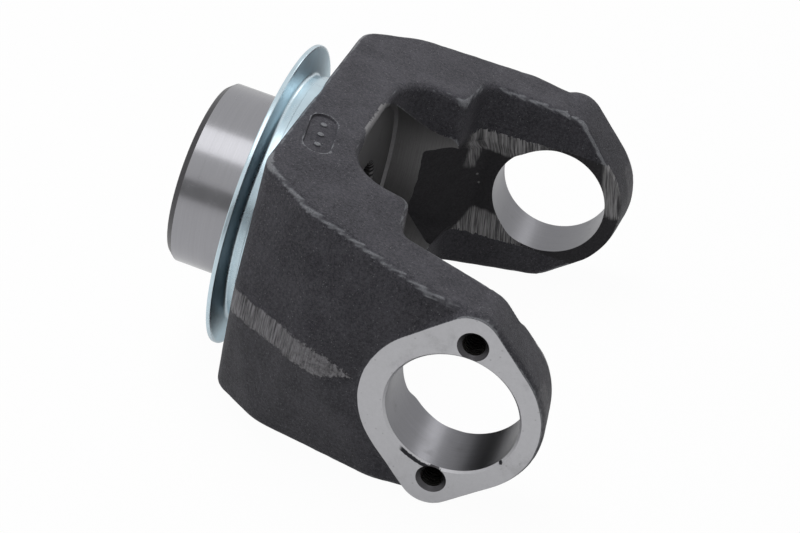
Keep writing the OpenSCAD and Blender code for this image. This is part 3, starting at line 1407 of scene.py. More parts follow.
@dataclass
class MarkRecess:
    """A shallow recess with three plain raised pips, where a forging carries its marks."""

    sizes: YokeSizes
    shop: MeshShop
    x: float = -83.2
    y: float = -29.0
    half_length: float = 14.0
    half_width: float = 5.6
    turn_deg: float = 9.0
    depth: float = 0.9
    draft: float = 0.5
    end_steps: int = 24
    pips: int = 3
    pip_r: float = 1.7
    pip_top: float = 0.7
    pip_rise: float = 0.5
    pip_gap: float = 7.4
    pip_steps: int = 32

    def press(self, body: bpy.types.Object) -> None:
        """Presses the recess into the top face and raises its pips.

        Args:
            body: The yoke.
        """
        face = self._face()
        cutter = self.shop.loft("recess", [
            level(self._stadium(-self.draft), -self.depth),
            level(self._stadium(0.0), 0.0),
            level(self._stadium(self.draft), self.depth),
        ])
        self.shop.combine(body, [self.shop.move(cutter, face)], Cut.REMOVE)
        self.shop.combine(body, [self.shop.move(self._pips(), face)], Cut.UNITE)

    def _face(self) -> Matrix:
        """The recess's own frame on the sloping top face.

        Returns:
            The move from the recess's own frame to the yoke's.
        """
        s = self.sizes
        place = Matrix.Translation((self.x, self.y, s.ear_top - s.top_slope * self.x))
        slope = Matrix.Rotation(math.atan(s.top_slope), 4, "Y")
        return place @ slope @ Matrix.Rotation(math.radians(self.turn_deg), 4, "Z")

    def _stadium(self, growth: float) -> list[Point2]:
        """The recess's outline, a slot with round ends.

        Args:
            growth: How far the slot's sides stand out from their size.

        Returns:
            The points.
        """
        radius = self.half_width + growth
        reach = self.half_length - self.half_width
        points = []
        for end in (1, -1):
            for i in range(self.end_steps + 1):
                a = math.pi * i / self.end_steps + (0 if end > 0 else math.pi)
                points.append((radius * math.cos(a), end * reach + radius * math.sin(a)))
        return points

    def _pips(self) -> bpy.types.Object:
        """The plain raised pips, one low cone copied along a line.

        Returns:
            The pips, in the recess's own frame.
        """
        recipe = NodeRecipe("pips", {
            "Count": self.pips,
            "Gap": self.pip_gap,
            "Radius": self.pip_r,
            "Top radius": self.pip_r * self.pip_top,
            "Height": self.pip_rise + self.depth,
        })
        line = recipe.node(
            "GeometryNodeMeshLine",
            {},
            {
                "Count": recipe.value("Count"),
                "Start Location": (0.0, -self.pip_gap * (self.pips - 1) / 2, -2 * self.depth),
                "Offset": recipe.vector(y=recipe.value("Gap")),
            },
        )
        cone = recipe.node(
            "GeometryNodeMeshCone",
            {},
            {
                "Vertices": self.pip_steps,
                "Radius Top": recipe.value("Top radius"),
                "Radius Bottom": recipe.value("Radius"),
                "Depth": recipe.value("Height"),
            },
        )
        row = recipe.node(
            "GeometryNodeInstanceOnPoints", {}, {"Points": line.outputs[0], "Instance": cone.outputs[0]}
        )
        return recipe.made(self.shop, "pips", row.outputs[0], Machining.plain())


# A finish, and for each face whether it fits.
Rule = tuple[Finish, np.ndarray]


@dataclass(frozen=True)
class FaceTable:
    """Where each face of the yoke lies and which way it looks, with one number a face in each array."""

    x: np.ndarray
    z: np.ndarray
    wide: np.ndarray
    about_shaft: np.ndarray
    about_bore: np.ndarray
    about_tap: np.ndarray
    nx: np.ndarray
    ny: np.ndarray

    @classmethod
    def of(cls, mesh: bpy.types.Mesh, tap_offset: float) -> "FaceTable":
        """Reads the table from a mesh in the yoke's own frame.

        Args:
            mesh: The yoke's mesh.
            tap_offset: How far the tapped holes stand from the bore's axis.

        Returns:
            The table.
        """
        centre = np.empty(len(mesh.polygons) * 3)
        mesh.polygons.foreach_get("center", centre)
        normal = np.empty(len(centre))
        mesh.polygons.foreach_get("normal", normal)
        x, y, z = centre.reshape(-1, 3).T
        nx, ny, _ = normal.reshape(-1, 3).T
        return cls(
            x=x,
            z=z,
            wide=np.abs(y),
            about_shaft=np.hypot(y, z),
            about_bore=np.hypot(x, z),
            about_tap=np.hypot(x, np.abs(z) - tap_offset),
            nx=nx,
            ny=ny,
        )


@dataclass
class Marking:
    """Gives each face of the finished yoke the finish of the operation that made it; the turned seat gets the
    slinger's zinc as a painted reflection.
    """

    sizes: YokeSizes
    near: float = 0.06
    near_wall: float = 0.15
    clear: float = 0.2
    square: float = 0.99
    end_on: float = 0.9
    broken: float = 0.5
    bore_wall: float = 0.4
    wall: float = 0.3
    journal_wall: float = 0.2
    bore_back: float = 12.0
    break_depth: float = 1.6
    break_w: float = 2.0
    sink_r: float = 6.0
    over: float = 0.1
    tap_wall_r: float = 5.4
    chamfer_run: float = 2.5
    chamfer_w: float = 3.0
    shoulder_from: float = 1.0
    shoulder_to: float = 8.0
    seat_run: float = 4.0
    hub_run: float = 1.0
    hub_from_r: float = 27.0
    hub_to_r: float = 53.0
    teeth_r: float = 27.5
    nut_seat_run: float = 1.5
    nut_wall_over: float = 1.0
    torn_z: float = 25.4
    torn_over: float = 1.5
    torn_back: float = 56.5
    torn_front: float = 40.0
    short_edge: float = 0.05
    wear_and_highlight_gain: float = 5.5

    def apply(self, body: bpy.types.Object, finishes: dict[Finish, bpy.types.Material]) -> None:
        """Sets the material slots, the finish of each face and the edge mask of a yoke in its own frame, for
        rubbed edges and a painted edge highlight.

        Args:
            body: The yoke.
            finishes: A material for each finish.
        """
        mesh = body.data
        mesh.materials.clear()
        for finish in Finish:
            mesh.materials.append(finishes[finish])
        mesh.polygons.foreach_set("material_index", self._sorted(mesh))
        self._wear(mesh)
        mesh.update()

    def _sorted(self, mesh: bpy.types.Mesh) -> np.ndarray:
        """The finish number of each face, from its place and direction.

        Args:
            mesh: The yoke's mesh, in its own frame.

        Returns:
            A number for each face. The first rule that fits a face counts.
        """
        faces = FaceTable.of(mesh, self.sizes.tap_offset)
        rules = self._ear_rules(faces) + self._hub_rules(faces) + self._fork_rules(faces)
        found = np.zeros(len(mesh.polygons), dtype=np.int32)
        for finish, fits in reversed(rules):
            found[fits] = finish.value
        return found

    def _ear_rules(self, f: FaceTable) -> list[Rule]:
        """The milled faces, the cross bores and the tapped holes.

        Args:
            f: Where the faces lie and which way they look.

        Returns:
            Each finish with the faces that it fits.
        """
        s = self.sizes
        at_edge = (f.wide > s.half_span - self.break_depth) & (np.abs(f.ny) > self.broken)
        in_bore = (f.wide > s.land_half - self.bore_back) & (f.about_bore < s.bore_r + s.bore_break)
        in_tap = f.wide > s.half_span - s.tap_depth - self.over
        return [
            (Finish.MILLED, (f.wide > s.half_span - self.near) & (np.abs(f.ny) > self.square)),
            (Finish.BORED, in_bore & (np.abs(f.ny) < self.bore_wall)),
            (Finish.SUNK, at_edge & (f.about_tap < self.sink_r)),
            (Finish.MILLED, at_edge & (f.about_bore < s.bore_r + self.break_w)),
            (Finish.TAPPED, in_tap & (f.about_tap < self.tap_wall_r)),
        ]

    def _hub_rules(self, f: FaceTable) -> list[Rule]:
        """The journal, the hub's end, the shoulder and the seat.

        Args:
            f: Where the faces lie and which way they look.

        Returns:
            Each finish with the faces that it fits.
        """
        s = self.sizes
        on_journal = self._on(f.about_shaft, s.journal_r) & (f.x < -s.seat_reach)
        at_end = (f.x < -s.hub_reach + self.chamfer_run) & (f.about_shaft > s.journal_r - self.chamfer_w)
        shoulder = (f.x < -s.seat_reach - self.shoulder_from) & (f.x > -s.seat_reach - self.shoulder_to)
        seat = (f.x < -s.hub_face + self.seat_run) & (f.x > -s.seat_reach - self.near)
        on_hub = (f.x < -s.hub_face + s.hub_face_lean + self.hub_run) & (f.about_shaft > self.hub_from_r)
        return [
            (Finish.GROUND, on_journal & (np.abs(f.nx) < self.journal_wall)),
            (Finish.ENDED, (f.x < -s.hub_reach + self.near) & (f.nx < -self.end_on)),
            (Finish.SUNK, at_end & (f.nx > -self.end_on) & (f.nx < -self.wall)),
            (Finish.ENDED, shoulder & (f.about_shaft > s.journal_r - self.over)),
            # The turned seat gets the blue zinc of the slinger: a painted reflection of the plated ring on
            # bare steel.
            (Finish.SEATED_PAINTED_REFLECTION, seat & self._on(f.about_shaft, s.seat_r)),
            (Finish.TURNED, on_hub & (f.about_shaft < self.hub_to_r)),
        ]

    def _fork_rules(self, f: FaceTable) -> list[Rule]:
        """The spline, the nut's counterbore and the sheared walls of the fork.

        Args:
            f: Where the faces lie and which way they look.

        Returns:
            Each finish with the faces that it fits.
        """
        s = self.sizes
        at_seat = (np.abs(f.x + s.nut_seat) < self.nut_seat_run) & (f.about_shaft < s.nut_bore_r + self.clear)
        nut_wall = (f.x < -s.nut_front) & (f.x > -s.nut_seat - self.nut_wall_over)
        torn = (np.abs(f.z) < self.torn_z) & (f.wide < s.land_half + self.torn_over)
        return [
            (Finish.BROACHED, (f.x < -s.nut_seat - self.clear) & (f.about_shaft < self.teeth_r)),
            (Finish.FACED, at_seat & (f.nx > self.wall)),
            (Finish.TURNED, nut_wall & self._on(f.about_shaft, s.nut_bore_r) & (np.abs(f.nx) < self.wall)),
            (Finish.SHEARED, torn & (f.x > -self.torn_back) & (f.x < self.torn_front)),
        ]

    def _on(self, radius: np.ndarray, wanted: float) -> np.ndarray:
        """Whether faces lie on a cylinder."""
        return np.abs(radius - wanted) < self.near_wall

    def _wear(self, mesh: bpy.types.Mesh) -> None:
        """Stores how far each vertex stands out from its neighbours, as a mask for rubbed edges and a painted
        edge highlight.

        Args:
            mesh: The yoke's mesh, which gets the attribute wear.
        """
        count = len(mesh.vertices)
        place = np.empty(count * 3)
        mesh.vertices.foreach_get("co", place)
        place = place.reshape(-1, 3)
        normal = np.empty(count * 3)
        mesh.vertex_normals.foreach_get("vector", normal)
        normal = normal.reshape(-1, 3)
        ends = np.empty(len(mesh.edges) * 2, dtype=np.int32)
        mesh.edges.foreach_get("vertices", ends)
        a, b = ends.reshape(-1, 2).T
        along = place[b] - place[a]
        length = np.maximum(np.linalg.norm(along, axis=1), self.short_edge)
        stand = np.zeros(count)
        links = np.zeros(count)
        for here, sign in ((a, -1), (b, 1)):
            np.add.at(stand, here, sign * (normal[here] * along).sum(axis=1) / length ** 2)
            np.add.at(links, here, 1)
        links = np.maximum(links, 1)
        stand = np.clip(stand / links * self.wear_and_highlight_gain, 0, 1)
        around = np.zeros(count)
        np.add.at(around, a, stand[b])
        np.add.at(around, b, stand[a])
        worn = 0.5 * stand + 0.5 * around / links
        layer = mesh.attributes.new("wear", "FLOAT", "POINT")
        layer.data.foreach_set("value", worn.astype(np.float32))


@dataclass
class Slinger:
    """The pressed ring on the hub: a collar that turns out into a dished flange."""

    sizes: YokeSizes
    shop: MeshShop
    thickness: float = 1.8
    fit: float = 0.05
    collar_len: float = 4.4
    bend_r: float = 1.6
    rim_r: float = 63.5
    dish: float = 0.6
    rim_round: float = 0.4
    foot_break: float = 0.25
    steps: int = 10
    rim_steps: int = 4
    facets: int = 256

    def build(self, finish: bpy.types.Material) -> bpy.types.Object:
        """Spins the ring from its section.

        Args:
            finish: The plated finish.

        Returns:
            The ring, in the yoke's own frame.
        """
        made = self.shop.turned("slinger", self._section(), steps=self.facets)
        made.data.materials.append(finish)
        return made

    def _section(self) -> list[Point2]:
        """The ring's section, as (radius, reach) pairs.

        Returns:
            The points, once round the section.
        """
        foot = self.sizes.seat_reach
        in_r = self.sizes.shoulder_r + self.fit
        out_r = in_r + self.thickness
        face = foot + self.collar_len
        back = face + self.thickness
        back_bend = self.bend_r + self.thickness
        points = [(in_r, foot + self.foot_break), (in_r + self.foot_break, foot)]
        points += [(out_r - self.foot_break, foot), (out_r, foot + self.foot_break)]
        for i in range(self.steps + 1):
            a = math.pi * (1 - i / self.steps / 2)
            points.append((out_r + self.bend_r * (1 + math.cos(a)), face - self.bend_r * (1 - math.sin(a))))
        points += self._rim(face)
        for i in range(self.steps + 1):
            a = math.pi / 2 * (1 + i / self.steps)
            points.append((in_r + back_bend * (1 + math.cos(a)), back - back_bend * (1 - math.sin(a))))
        return points

    def _rim(self, face: float) -> list[Point2]:
        """The dished rim with its two rounded corners.

        Args:
            face: The reach of the flange's front face.

        Returns:
            The rim's points.
        """
        points = []
        centre = self.rim_r - self.rim_round
        front = face + self.dish + self.rim_round
        rear = face + self.thickness + self.dish - self.rim_round
        for i in range(self.rim_steps + 1):
            a = -math.pi / 2 * (1 - i / self.rim_steps)
            points.append((centre + self.rim_round * math.cos(a), front + self.rim_round * math.sin(a)))
        for i in range(self.rim_steps + 1):
            a = math.pi / 2 * i / self.rim_steps
            points.append((centre + self.rim_round * math.cos(a), rear + self.rim_round * math.sin(a)))
        return points


@dataclass(frozen=True)
class ForgedSkin:
    """The charcoal skin of a hot forging, with scale grain, specks, edges partly rubbed bare and partly given
    a painted highlight, and its flash line.
    """

    deep: Colour = (0.006, 0.006, 0.009)
    scale: Colour = (0.088, 0.086, 0.098)
    speck: Colour = (0.22, 0.22, 0.23)
    sheared: Colour = (0.25, 0.245, 0.26)
    # The colour of the convex edges: partly bare metal rubbed through the scale, partly a painted highlight.
    worn: Colour = (0.30, 0.31, 0.33)
    sheen: float = 0.2
    rough: float = 0.58
    grain_mm: float = 0.60
    cloud_noise: Noise = (0.07, 3.0, 0.6)
    scale_noise: Noise = (0.9, 4.0, 0.7)
    grit_noise: Noise = (2.4, 3.0, 0.7)
    worn_noise: Noise = (0.16, 3.0, 0.6)
    waver_noise: Noise = (0.09, 2.0, 0.5)
    border_noise: Noise = (0.7, 4.0, 0.75)
    streak_noise: Noise = (1.6, 3.0, 0.7)
    torn_noise: Noise = (0.7, 4.0, 0.7)
    tip_noise: Noise = (0.35, 3.0, 0.5)
    waver: float = 7.0
    tip_stray: float = 5.0
    speck_scale: float = 1.3
    speck_grey: float = 0.78
    speck_r: Band = (0.34, 0.10)
    speck_show: float = 0.75
    tip_show: float = 0.45
    worn_and_highlit_show: float = 0.6
    worn_metal: float = 0.5
    wear_and_highlight_from: Band = (0.17, 0.40)
    flash_middle: float = -0.9
    flash_half: float = 5.2
    flash_end: Band = (-35.5, -37.5)
    flash_ear: Band = (-52.0, -35.5)
    tip_foot: Band = (2.0, 4.5)
    tip_head: Band = (25.0, 22.0)
    tip_front: Band = (25.5, 27.5)
    tip_side: Band = (82.0, 85.0)

    def made(self, lie: Lie) -> bpy.types.Material:
        """Builds the material.

        Args:
            lie: How the part lies.

        Returns:
            The material.
        """
        sheet = FinishSheet("forged skin")
        place = sheet.own_frame(lie)
        clouds = sheet.noise(place, *self.cloud_noise)
        scale = sheet.noise(place, *self.scale_noise)
        grit = sheet.noise(place, *self.grit_noise)
        tone = scale.rise(0.32, 0.70) * 0.40 + clouds.rise(0.30, 0.70) * 0.20 + grit.rise(0.34, 0.68) * 0.40
        colour = sheet.blend(tone, self.deep, self.scale)
        distance, grey = sheet.cells(place, self.speck_scale)
        speck = (grey - self.speck_grey).rise(0.0, 0.2) * distance.rise(*self.speck_r)
        colour = sheet.blend(speck * self.speck_show, colour, self.speck)
        flash = self._flash(sheet, place)
        streaks = self._streaks(sheet, place)
        cut = sheet.shade(self.sheared, streaks.rise(0.30, 0.66) * 0.85 + 0.15)
        colour = sheet.blend(flash, colour, cut)
        tip = self._tip(sheet, place)
        colour = sheet.blend(tip * self.tip_show, colour, cut)
        # Convex edges turn lighter and more metallic: partly metal rubbed bare, partly a painted highlight.
        worn_here = sheet.noise(place, *self.worn_noise)
        wear = (sheet.attribute("wear") * (worn_here * 0.9 + 0.65) - grit * 0.50).rise(*self.wear_and_highlight_from)
        wear = wear * (grit.rise(0.36, 0.60) * 0.55 + 0.45)
        colour = sheet.blend(wear * self.worn_and_highlit_show, colour, self.worn)
        height = scale * 0.55 + grit * 0.45 + streaks * flash * 0.8
        rough = self.rough - wear * 0.16 - flash * 0.06 + (grit - 0.5) * 0.3
        return sheet.finish(
            Base_Color=colour,
            Metallic=wear * self.worn_metal,
            Specular_IOR_Level=self.sheen,
            Roughness=rough,
            Normal=sheet.bump(height, self.grain_mm),
        )

    def _flash(self, sheet: NodeSheet, place: Signal) -> Signal:
        """Where the flash was trimmed off along the parting line, with uneven borders.

        Args:
            sheet: The material's sheet.
            place: The place in the part's own frame.

        Returns:
            1 on the trimmed strip and 0 off it.
        """
        x, y, z = sheet.split(place)
        along = sheet.join(x, y, 0.0)
        waver = (sheet.noise(along, *self.waver_noise) - 0.5) * self.waver
        ragged = (sheet.noise(place, *self.border_noise) - 0.5) * (x.rise(-80.0, -45.0) * 6.0 + 2.5)
        nib = x.rise(*self.flash_ear) * (self.flash_half + 0.6)
        off = abs(z - self.flash_middle + waver * x.rise(-38.0, -50.0))
        inside = self.flash_half - nib - off + ragged
        return inside.rise(-0.35, 0.45) * x.rise(*self.flash_end)

    def _streaks(self, sheet: NodeSheet, place: Signal) -> Signal:
        """Fine upright shear marks, rougher toward the ears.

        Args:
            sheet: The material's sheet.
            place: The place in the part's own frame.

        Returns:
            The marks' height, from 0 to 1.
        """
        x, y, z = sheet.split(place)
        upright = sheet.join(x, y, z * 0.06)
        fine = sheet.noise(upright, *self.streak_noise)
        rough = sheet.noise(place, *self.torn_noise)
        toward_ear = x.rise(-72.0, -45.0) * 0.7
        return fine + (rough - fine) * toward_ear

    def _tip(self, sheet: NodeSheet, place: Signal) -> Signal:
        """The light patches at the ears' tips.

        Args:
            sheet: The material's sheet.
            place: The place in the part's own frame.

        Returns:
            1 on the patches and 0 off them.
        """
        x, y, z = sheet.split(place)
        ragged = (sheet.noise(place, *self.tip_noise) - 0.5) * self.tip_stray
        high = (z + ragged).rise(*self.tip_foot) * (z + ragged).rise(*self.tip_head)
        return high * (x + ragged * 0.4).rise(*self.tip_front) * abs(y).rise(*self.tip_side)


@dataclass(frozen=True)
class ShearedLand:
    """The inner walls where the fork's web was sheared out: bright strips beside dark fracture."""

    fracture: Colour = (0.030, 0.029, 0.032)
    bright: Colour = (0.34, 0.335, 0.34)
    # Places of two painted highlights on the torn wall, where facets catch the light.
    painted_glints: tuple[Point2, Point2] = ((-32.6, 1.4), (-31.0, -2.6))
    painted_glint_r: float = 0.5
    painted_glint_soft: float = 0.25
    border_noise: Noise = (0.16, 4.0, 0.6)
    stripe_noise: Noise = (1.3, 3.0, 0.65)
    grain_noise: Noise = (0.9, 5.0, 0.7)
    border_stray: float = 9.0
    sheen: float = 0.15
    rough: float = 0.62
    smoother: float = 0.18
    grain_mm: float = 0.5
    lean: float = 0.26
    upper_foot: Band = (13.5, 15.5)
    lower_head: Band = (-14.0, -16.0)
    lower_back: Band = (-24.2, -22.4)
    strips_front: Band = (-3.0, -10.0)
    strips_back: Band = (-39.5, -37.5)
    tip_front: Band = (32.8, 31.2)
    tip_back: Band = (23.2, 24.2)
    tip_foot: Band = (0.5, 3.5)
    nose_front: Band = (-33.5, -35.0)
    nose_foot: Band = (4.0, 7.0)

    def made(self, lie: Lie) -> bpy.types.Material:
        """Builds the material.

        Args:
            lie: How the part lies.

        Returns:
            The material.
        """
        sheet = FinishSheet("sheared land")
        place = sheet.own_frame(lie)
        x, y, z = sheet.split(place)
        ragged = (sheet.noise(place, *self.border_noise) - 0.5) * self.border_stray
        torn = x + z * self.lean
        behind = (x + ragged * 0.6).rise(*self.strips_front)
        upper = (z + ragged * 0.5).rise(*self.upper_foot) * behind
        lower = (z + ragged * 0.5).rise(*self.lower_head) * behind
        lower = lower * (x - z * 0.5 + ragged * 0.4).rise(*self.lower_back)
        tip = (torn + ragged * 0.3).rise(*self.tip_front) * torn.rise(*self.tip_back)
        tip = tip * (z + ragged).rise(*self.tip_foot)
        nose = (x + ragged * 0.3).rise(*self.nose_front) * (z + ragged * 0.4).rise(*self.nose_foot)
        strip = upper.most(lower).most(tip).most(nose) * (x + ragged * 0.3).rise(*self.strips_back)
        stripes = sheet.noise(sheet.join(torn, 0.0, z * 0.05), *self.stripe_noise)
        grain = sheet.noise(place, *self.grain_noise)
        # The bright strips are the wall's own burnish; the two spots added to them are painted highlights.
        painted_glint = self._painted_glint(sheet, x, z, self.painted_glints[0]).most(self._painted_glint(sheet, x, z, self.painted_glints[1]))
        strips_and_painted_glints = strip * (stripes.rise(0.36, 0.66) * 0.85 + 0.1) + painted_glint * 0.5
        colour = sheet.blend(strips_and_painted_glints, sheet.shade(self.fracture, grain * 1.6 + 0.2), self.bright)
        height = grain * (1 - strip) * 1.2 + stripes * strip * 0.35
        return sheet.finish(
            Base_Color=colour,
            Specular_IOR_Level=self.sheen,
            Roughness=self.rough - strip * self.smoother,
            Normal=sheet.bump(height, self.grain_mm, 0.8),
        )

    def _painted_glint(self, sheet: NodeSheet, x: Signal, z: Signal, place: Point2) -> Signal:
        """A painted highlight: a small bright spot where a facet that the tear left catches the light."""
        away = ((x - place[0]) ** 2.0 + (z - place[1]) ** 2.0) ** 0.5
        return away.rise(self.painted_glint_r + self.painted_glint_soft, self.painted_glint_r - self.painted_glint_soft)


@dataclass(frozen=True)
class CutSteel:
    """Bare machined steel: its colour, how rough it is, and which way its tool marks run."""

    name: str
    colour: Colour
    rough: float
    marks: tuple[float, float, float]
    mark_depth: float = 0.02
    stain: Colour = (0.10, 0.095, 0.09)
    stained: float = 0.25
    specks: float = 0.0
    uneven: float = 0.25
    lap: Colour = (0.03, 0.03, 0.034)
    mark_noise: Noise = (1.0, 4.0, 0.75)
    cloud_noise: Noise = (0.09, 4.0, 0.65)
    grain_noise: Noise = (1.6, 3.0, 0.6)
    dirt_from: Band = (0.56, 0.80)
    speck_scale: float = 0.7
    speck_grey: float = 0.88
    speck_r: Band = (0.36, 0.14)

    def made(self, lie: Lie) -> bpy.types.Material:
        """Builds the material. The marks run where their scale along a direction is smallest.

        Args:
            lie: How the part lies.

        Returns:
            The material.
        """
        sheet = FinishSheet(self.name)
        place = sheet.own_frame(lie)
        x, y, z = sheet.split(place)
        run = sheet.join(x * self.marks[0], y * self.marks[1], z * self.marks[2])
        fine = sheet.noise(run, *self.mark_noise)
        clouds = sheet.noise(place, *self.cloud_noise)
        grain = sheet.noise(place, *self.grain_noise)
        lines = fine.rise(0.30, 0.70)
        tone = 1.0 - self.uneven / 2 + lines * self.uneven + (grain - 0.5) * self.uneven
        colour = sheet.shade(self.colour, tone)
        dirt = (clouds + (grain - 0.5) * 0.35).rise(*self.dirt_from)
        colour = sheet.blend(dirt * self.stained, colour, self.stain)
        distance, grey = sheet.cells(place, self.speck_scale)
        speck = (grey - self.speck_grey).rise(0.0, 0.08) * distance.rise(*self.speck_r) * self.specks
        colour = sheet.blend(speck, colour, self.stain)
        rough = self.rough + dirt * 0.12 + (fine - 0.5) * self.uneven * 0.5 + speck * 0.2
        blemish = self._blemish(sheet, place)
        if blemish is not None:
            colour = sheet.blend(blemish, colour, self.lap)
        return sheet.finish(
            Base_Color=colour,
            Metallic=1.0,
            Roughness=rough,
            Normal=sheet.bump(fine, self.mark_depth, 0.6),
        )

    def _blemish(self, sheet: NodeSheet, place: Signal) -> Optional[Signal]:
        """Where the forging shows through the cut, if anywhere."""
        return None


@dataclass(frozen=True)
class MilledFace(CutSteel):
    """The milled ear faces, with the small laps that the forging left at the near bore's edge."""

    lap_r: float = 25.9
    lap_half: float = 0.75
    lap_soft: float = 0.1
    lap_back: Band = (-14.6, -13.1)
    lap_front: Band = (2.4, 0.9)
    lap_side: Band = (-20.0, -22.0)
    nick: Point2 = (21.9, -12.3)
    nick_r: float = 0.9
    nick_soft: float = 0.15
    near_face: Band = (-90.0, -92.0)
    lap_noise: Noise = (0.7, 3.0, 0.6)
    lap_stray: float = 1.6

    def _blemish(self, sheet: NodeSheet, place: Signal) -> Optional[Signal]:
        """The laps beside the lower tapped hole and the nick toward the tip.

        Args:
            sheet: The material's sheet.
            place: The place in the part's own frame.

        Returns:
            1 where the forging shows and 0 elsewhere.
        """
        x, y, z = sheet.split(place)
        ragged = (sheet.noise(place, *self.lap_noise) - 0.5) * self.lap_stray
        radius = (x * x + z * z) ** 0.5
        off = abs(radius - self.lap_r + ragged * 0.5)
        lap = off.rise(self.lap_half + self.lap_soft, self.lap_half - self.lap_soft)
        lap = lap * x.rise(*self.lap_back) * x.rise(*self.lap_front)
        away = ((x - self.nick[0]) ** 2.0 + (z - self.nick[1]) ** 2.0) ** 0.5
        nick = (away + ragged).rise(self.nick_r + self.nick_soft, self.nick_r - self.nick_soft)
        return (lap * z.rise(*self.lap_side)).most(nick) * y.rise(*self.near_face)


@dataclass(frozen=True)
class ZincPlate:
    """Blue clear zinc over pressed steel, darker and bluer on the flange than on its bright rim."""

    bright: Colour = (0.61, 0.74, 0.81)
    deep: Colour = (0.60, 0.78, 0.87)
    flange_r: float = 62.6
    rim_soft: float = 0.3
    collar_r: Band = (53.2, 52.0)
    rough: float = 0.40
    bright_smooth: float = 0.12
    cloud_noise: Noise = (0.08, 3.0, 0.6)
    haze_noise: Noise = (0.9, 3.0, 0.6)
    haze_mm: float = 0.0015

    def made(self, lie: Lie) -> bpy.types.Material:
        """Builds the material.

        Args:
            lie: How the part lies.

        Returns:
            The material.
        """
        sheet = FinishSheet("blue zinc plate")
        place = sheet.own_frame(lie)
        x, y, z = sheet.split(place)
        radius = (y * y + z * z) ** 0.5
        rim = radius.rise(self.flange_r - self.rim_soft, self.flange_r + self.rim_soft)
        polished = rim.most(radius.rise(*self.collar_r))
        clouds = sheet.noise(place, *self.cloud_noise)
        haze = sheet.noise(place, *self.haze_noise)
        colour = sheet.blend(polished, self.deep, self.bright)
        colour = sheet.shade(colour, 0.80 + clouds * 0.4)
        rough = self.rough - polished * self.bright_smooth + (clouds - 0.5) * 0.12 + (haze - 0.5) * 0.06
        return sheet.finish(
            Base_Color=colour,
            Metallic=1.0,
            Roughness=rough,
            Normal=sheet.bump(haze, self.haze_mm, 0.3),
        )


@dataclass
class YokeMaker:
    """Makes the finished yoke: forged, trimmed, machined, marked and laid down."""

    sizes: YokeSizes
    shop: MeshShop
    lie: Lie
    crease_deg: float = 32.0
    merge: float = 0.004

    def build(self) -> bpy.types.Object:
        """Builds the yoke in the row frame.

        Returns:
            The yoke, ready to stand for its CAD node.
        """
        body = Forging(self.sizes, self.shop).build()
        MarkRecess(self.sizes, self.shop).press(body)
        Machining(self.sizes, self.shop).build(body)
        self._tidy(body)
        Marking(self.sizes).apply(body, self._finishes())
        self.shop.move(body, self.lie.matrix())
        self.shop.smooth(body, self.crease_deg)
        body.name = "forged_yoke"
        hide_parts("yoke")
        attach(body, "root")
        return body

    def _tidy(self, body: bpy.types.Object) -> None:
        """Merges doubles and splits the large flat faces into triangles.

        Args:
            body: The yoke that changes.
        """
        shape = bmesh.new()
        shape.from_mesh(body.data)
        bmesh.ops.remove_doubles(shape, verts=shape.verts, dist=self.merge)
        bmesh.ops.dissolve_degenerate(shape, edges=shape.edges, dist=self.merge)
        bmesh.ops.triangulate(shape, faces=[f for f in shape.faces if len(f.verts) > 4])
        shape.to_mesh(body.data)
        shape.free()

    def _finishes(self) -> dict[Finish, bpy.types.Material]:
        """A material for each finish of the yoke.

        Returns:
            The materials.
        """
        steel = {
            Finish.MILLED: MilledFace(
                "milled face", (0.51, 0.51, 0.53), 0.42, (0.5, 0.5, 0.5), 0.012,
                stained=0.14, specks=0.25, uneven=0.06,
            ),
            # The bore walls get a much darker steel than the milled faces: painted shade for the dark inside
            # of the bores, on the same steel.
            Finish.BORED: CutSteel(
                "bored wall", (0.215, 0.215, 0.23), 0.35, (0.05, 2.5, 0.05), 0.012,
                stained=0.15, uneven=0.12,
            ),
            Finish.TURNED: CutSteel("turned steel", (0.17, 0.168, 0.17), 0.42, (2.5, 0.04, 0.04), 0.03),
            Finish.GROUND: CutSteel(
                "ground journal", (0.345, 0.345, 0.365), 0.20, (3.0, 0.02, 0.02), 0.004,
                stained=0.05, uneven=0.07,
            ),
            Finish.FACED: CutSteel("faced steel", (0.12, 0.118, 0.122), 0.38, (0.1, 0.9, 0.9), 0.02),
            Finish.SUNK: CutSteel("countersunk steel", (0.075, 0.073, 0.078), 0.36, (0.2, 2.4, 0.2), 0.02),
            Finish.ENDED: CutSteel("hub end steel", (0.30, 0.30, 0.31), 0.34, (0.1, 0.9, 0.9), 0.02),
            Finish.BROACHED: CutSteel("broached teeth", (0.08, 0.078, 0.08), 0.40, (0.05, 2.0, 2.0), 0.03),
            Finish.TAPPED: CutSteel("tapped wall", (0.16, 0.155, 0.15), 0.42, (0.5, 0.5, 0.5), 0.02),
        }
        made = {finish: kind.made(self.lie) for finish, kind in steel.items()}
        made[Finish.FORGED] = ForgedSkin().made(self.lie)
        made[Finish.SHEARED] = ShearedLand().made(self.lie)
        # The seat's bare steel takes the slinger's blue zinc: a painted reflection of the plated ring.
        made[Finish.SEATED_PAINTED_REFLECTION] = ZincPlate().made(self.lie)
        return made


@dataclass
class SlingerMaker:
    """Makes the finished slinger and lays it down on the hub."""

    sizes: YokeSizes
    shop: MeshShop
    lie: Lie
    crease_deg: float = 40.0

    def build(self) -> bpy.types.Object:
        """Builds the slinger in the row frame.

        Returns:
            The ring, ready to stand for its CAD node.
        """
        ring = Slinger(self.sizes, self.shop).build(ZincPlate().made(self.lie))
        self.shop.move(ring, self.lie.matrix())
        self.shop.smooth(ring, self.crease_deg)
        ring.name = "plated_slinger"
        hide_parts("slinger")
        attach(ring, "root")
        return ring


@dataclass(frozen=True)
class Lamp:
    """One square soft lamp, aimed at a point of the object. Metal mirrors it only if it is in_metal."""

    name: str
    place: Point3
    aim: Point3
    size: float
    power: float
    in_metal: bool = False


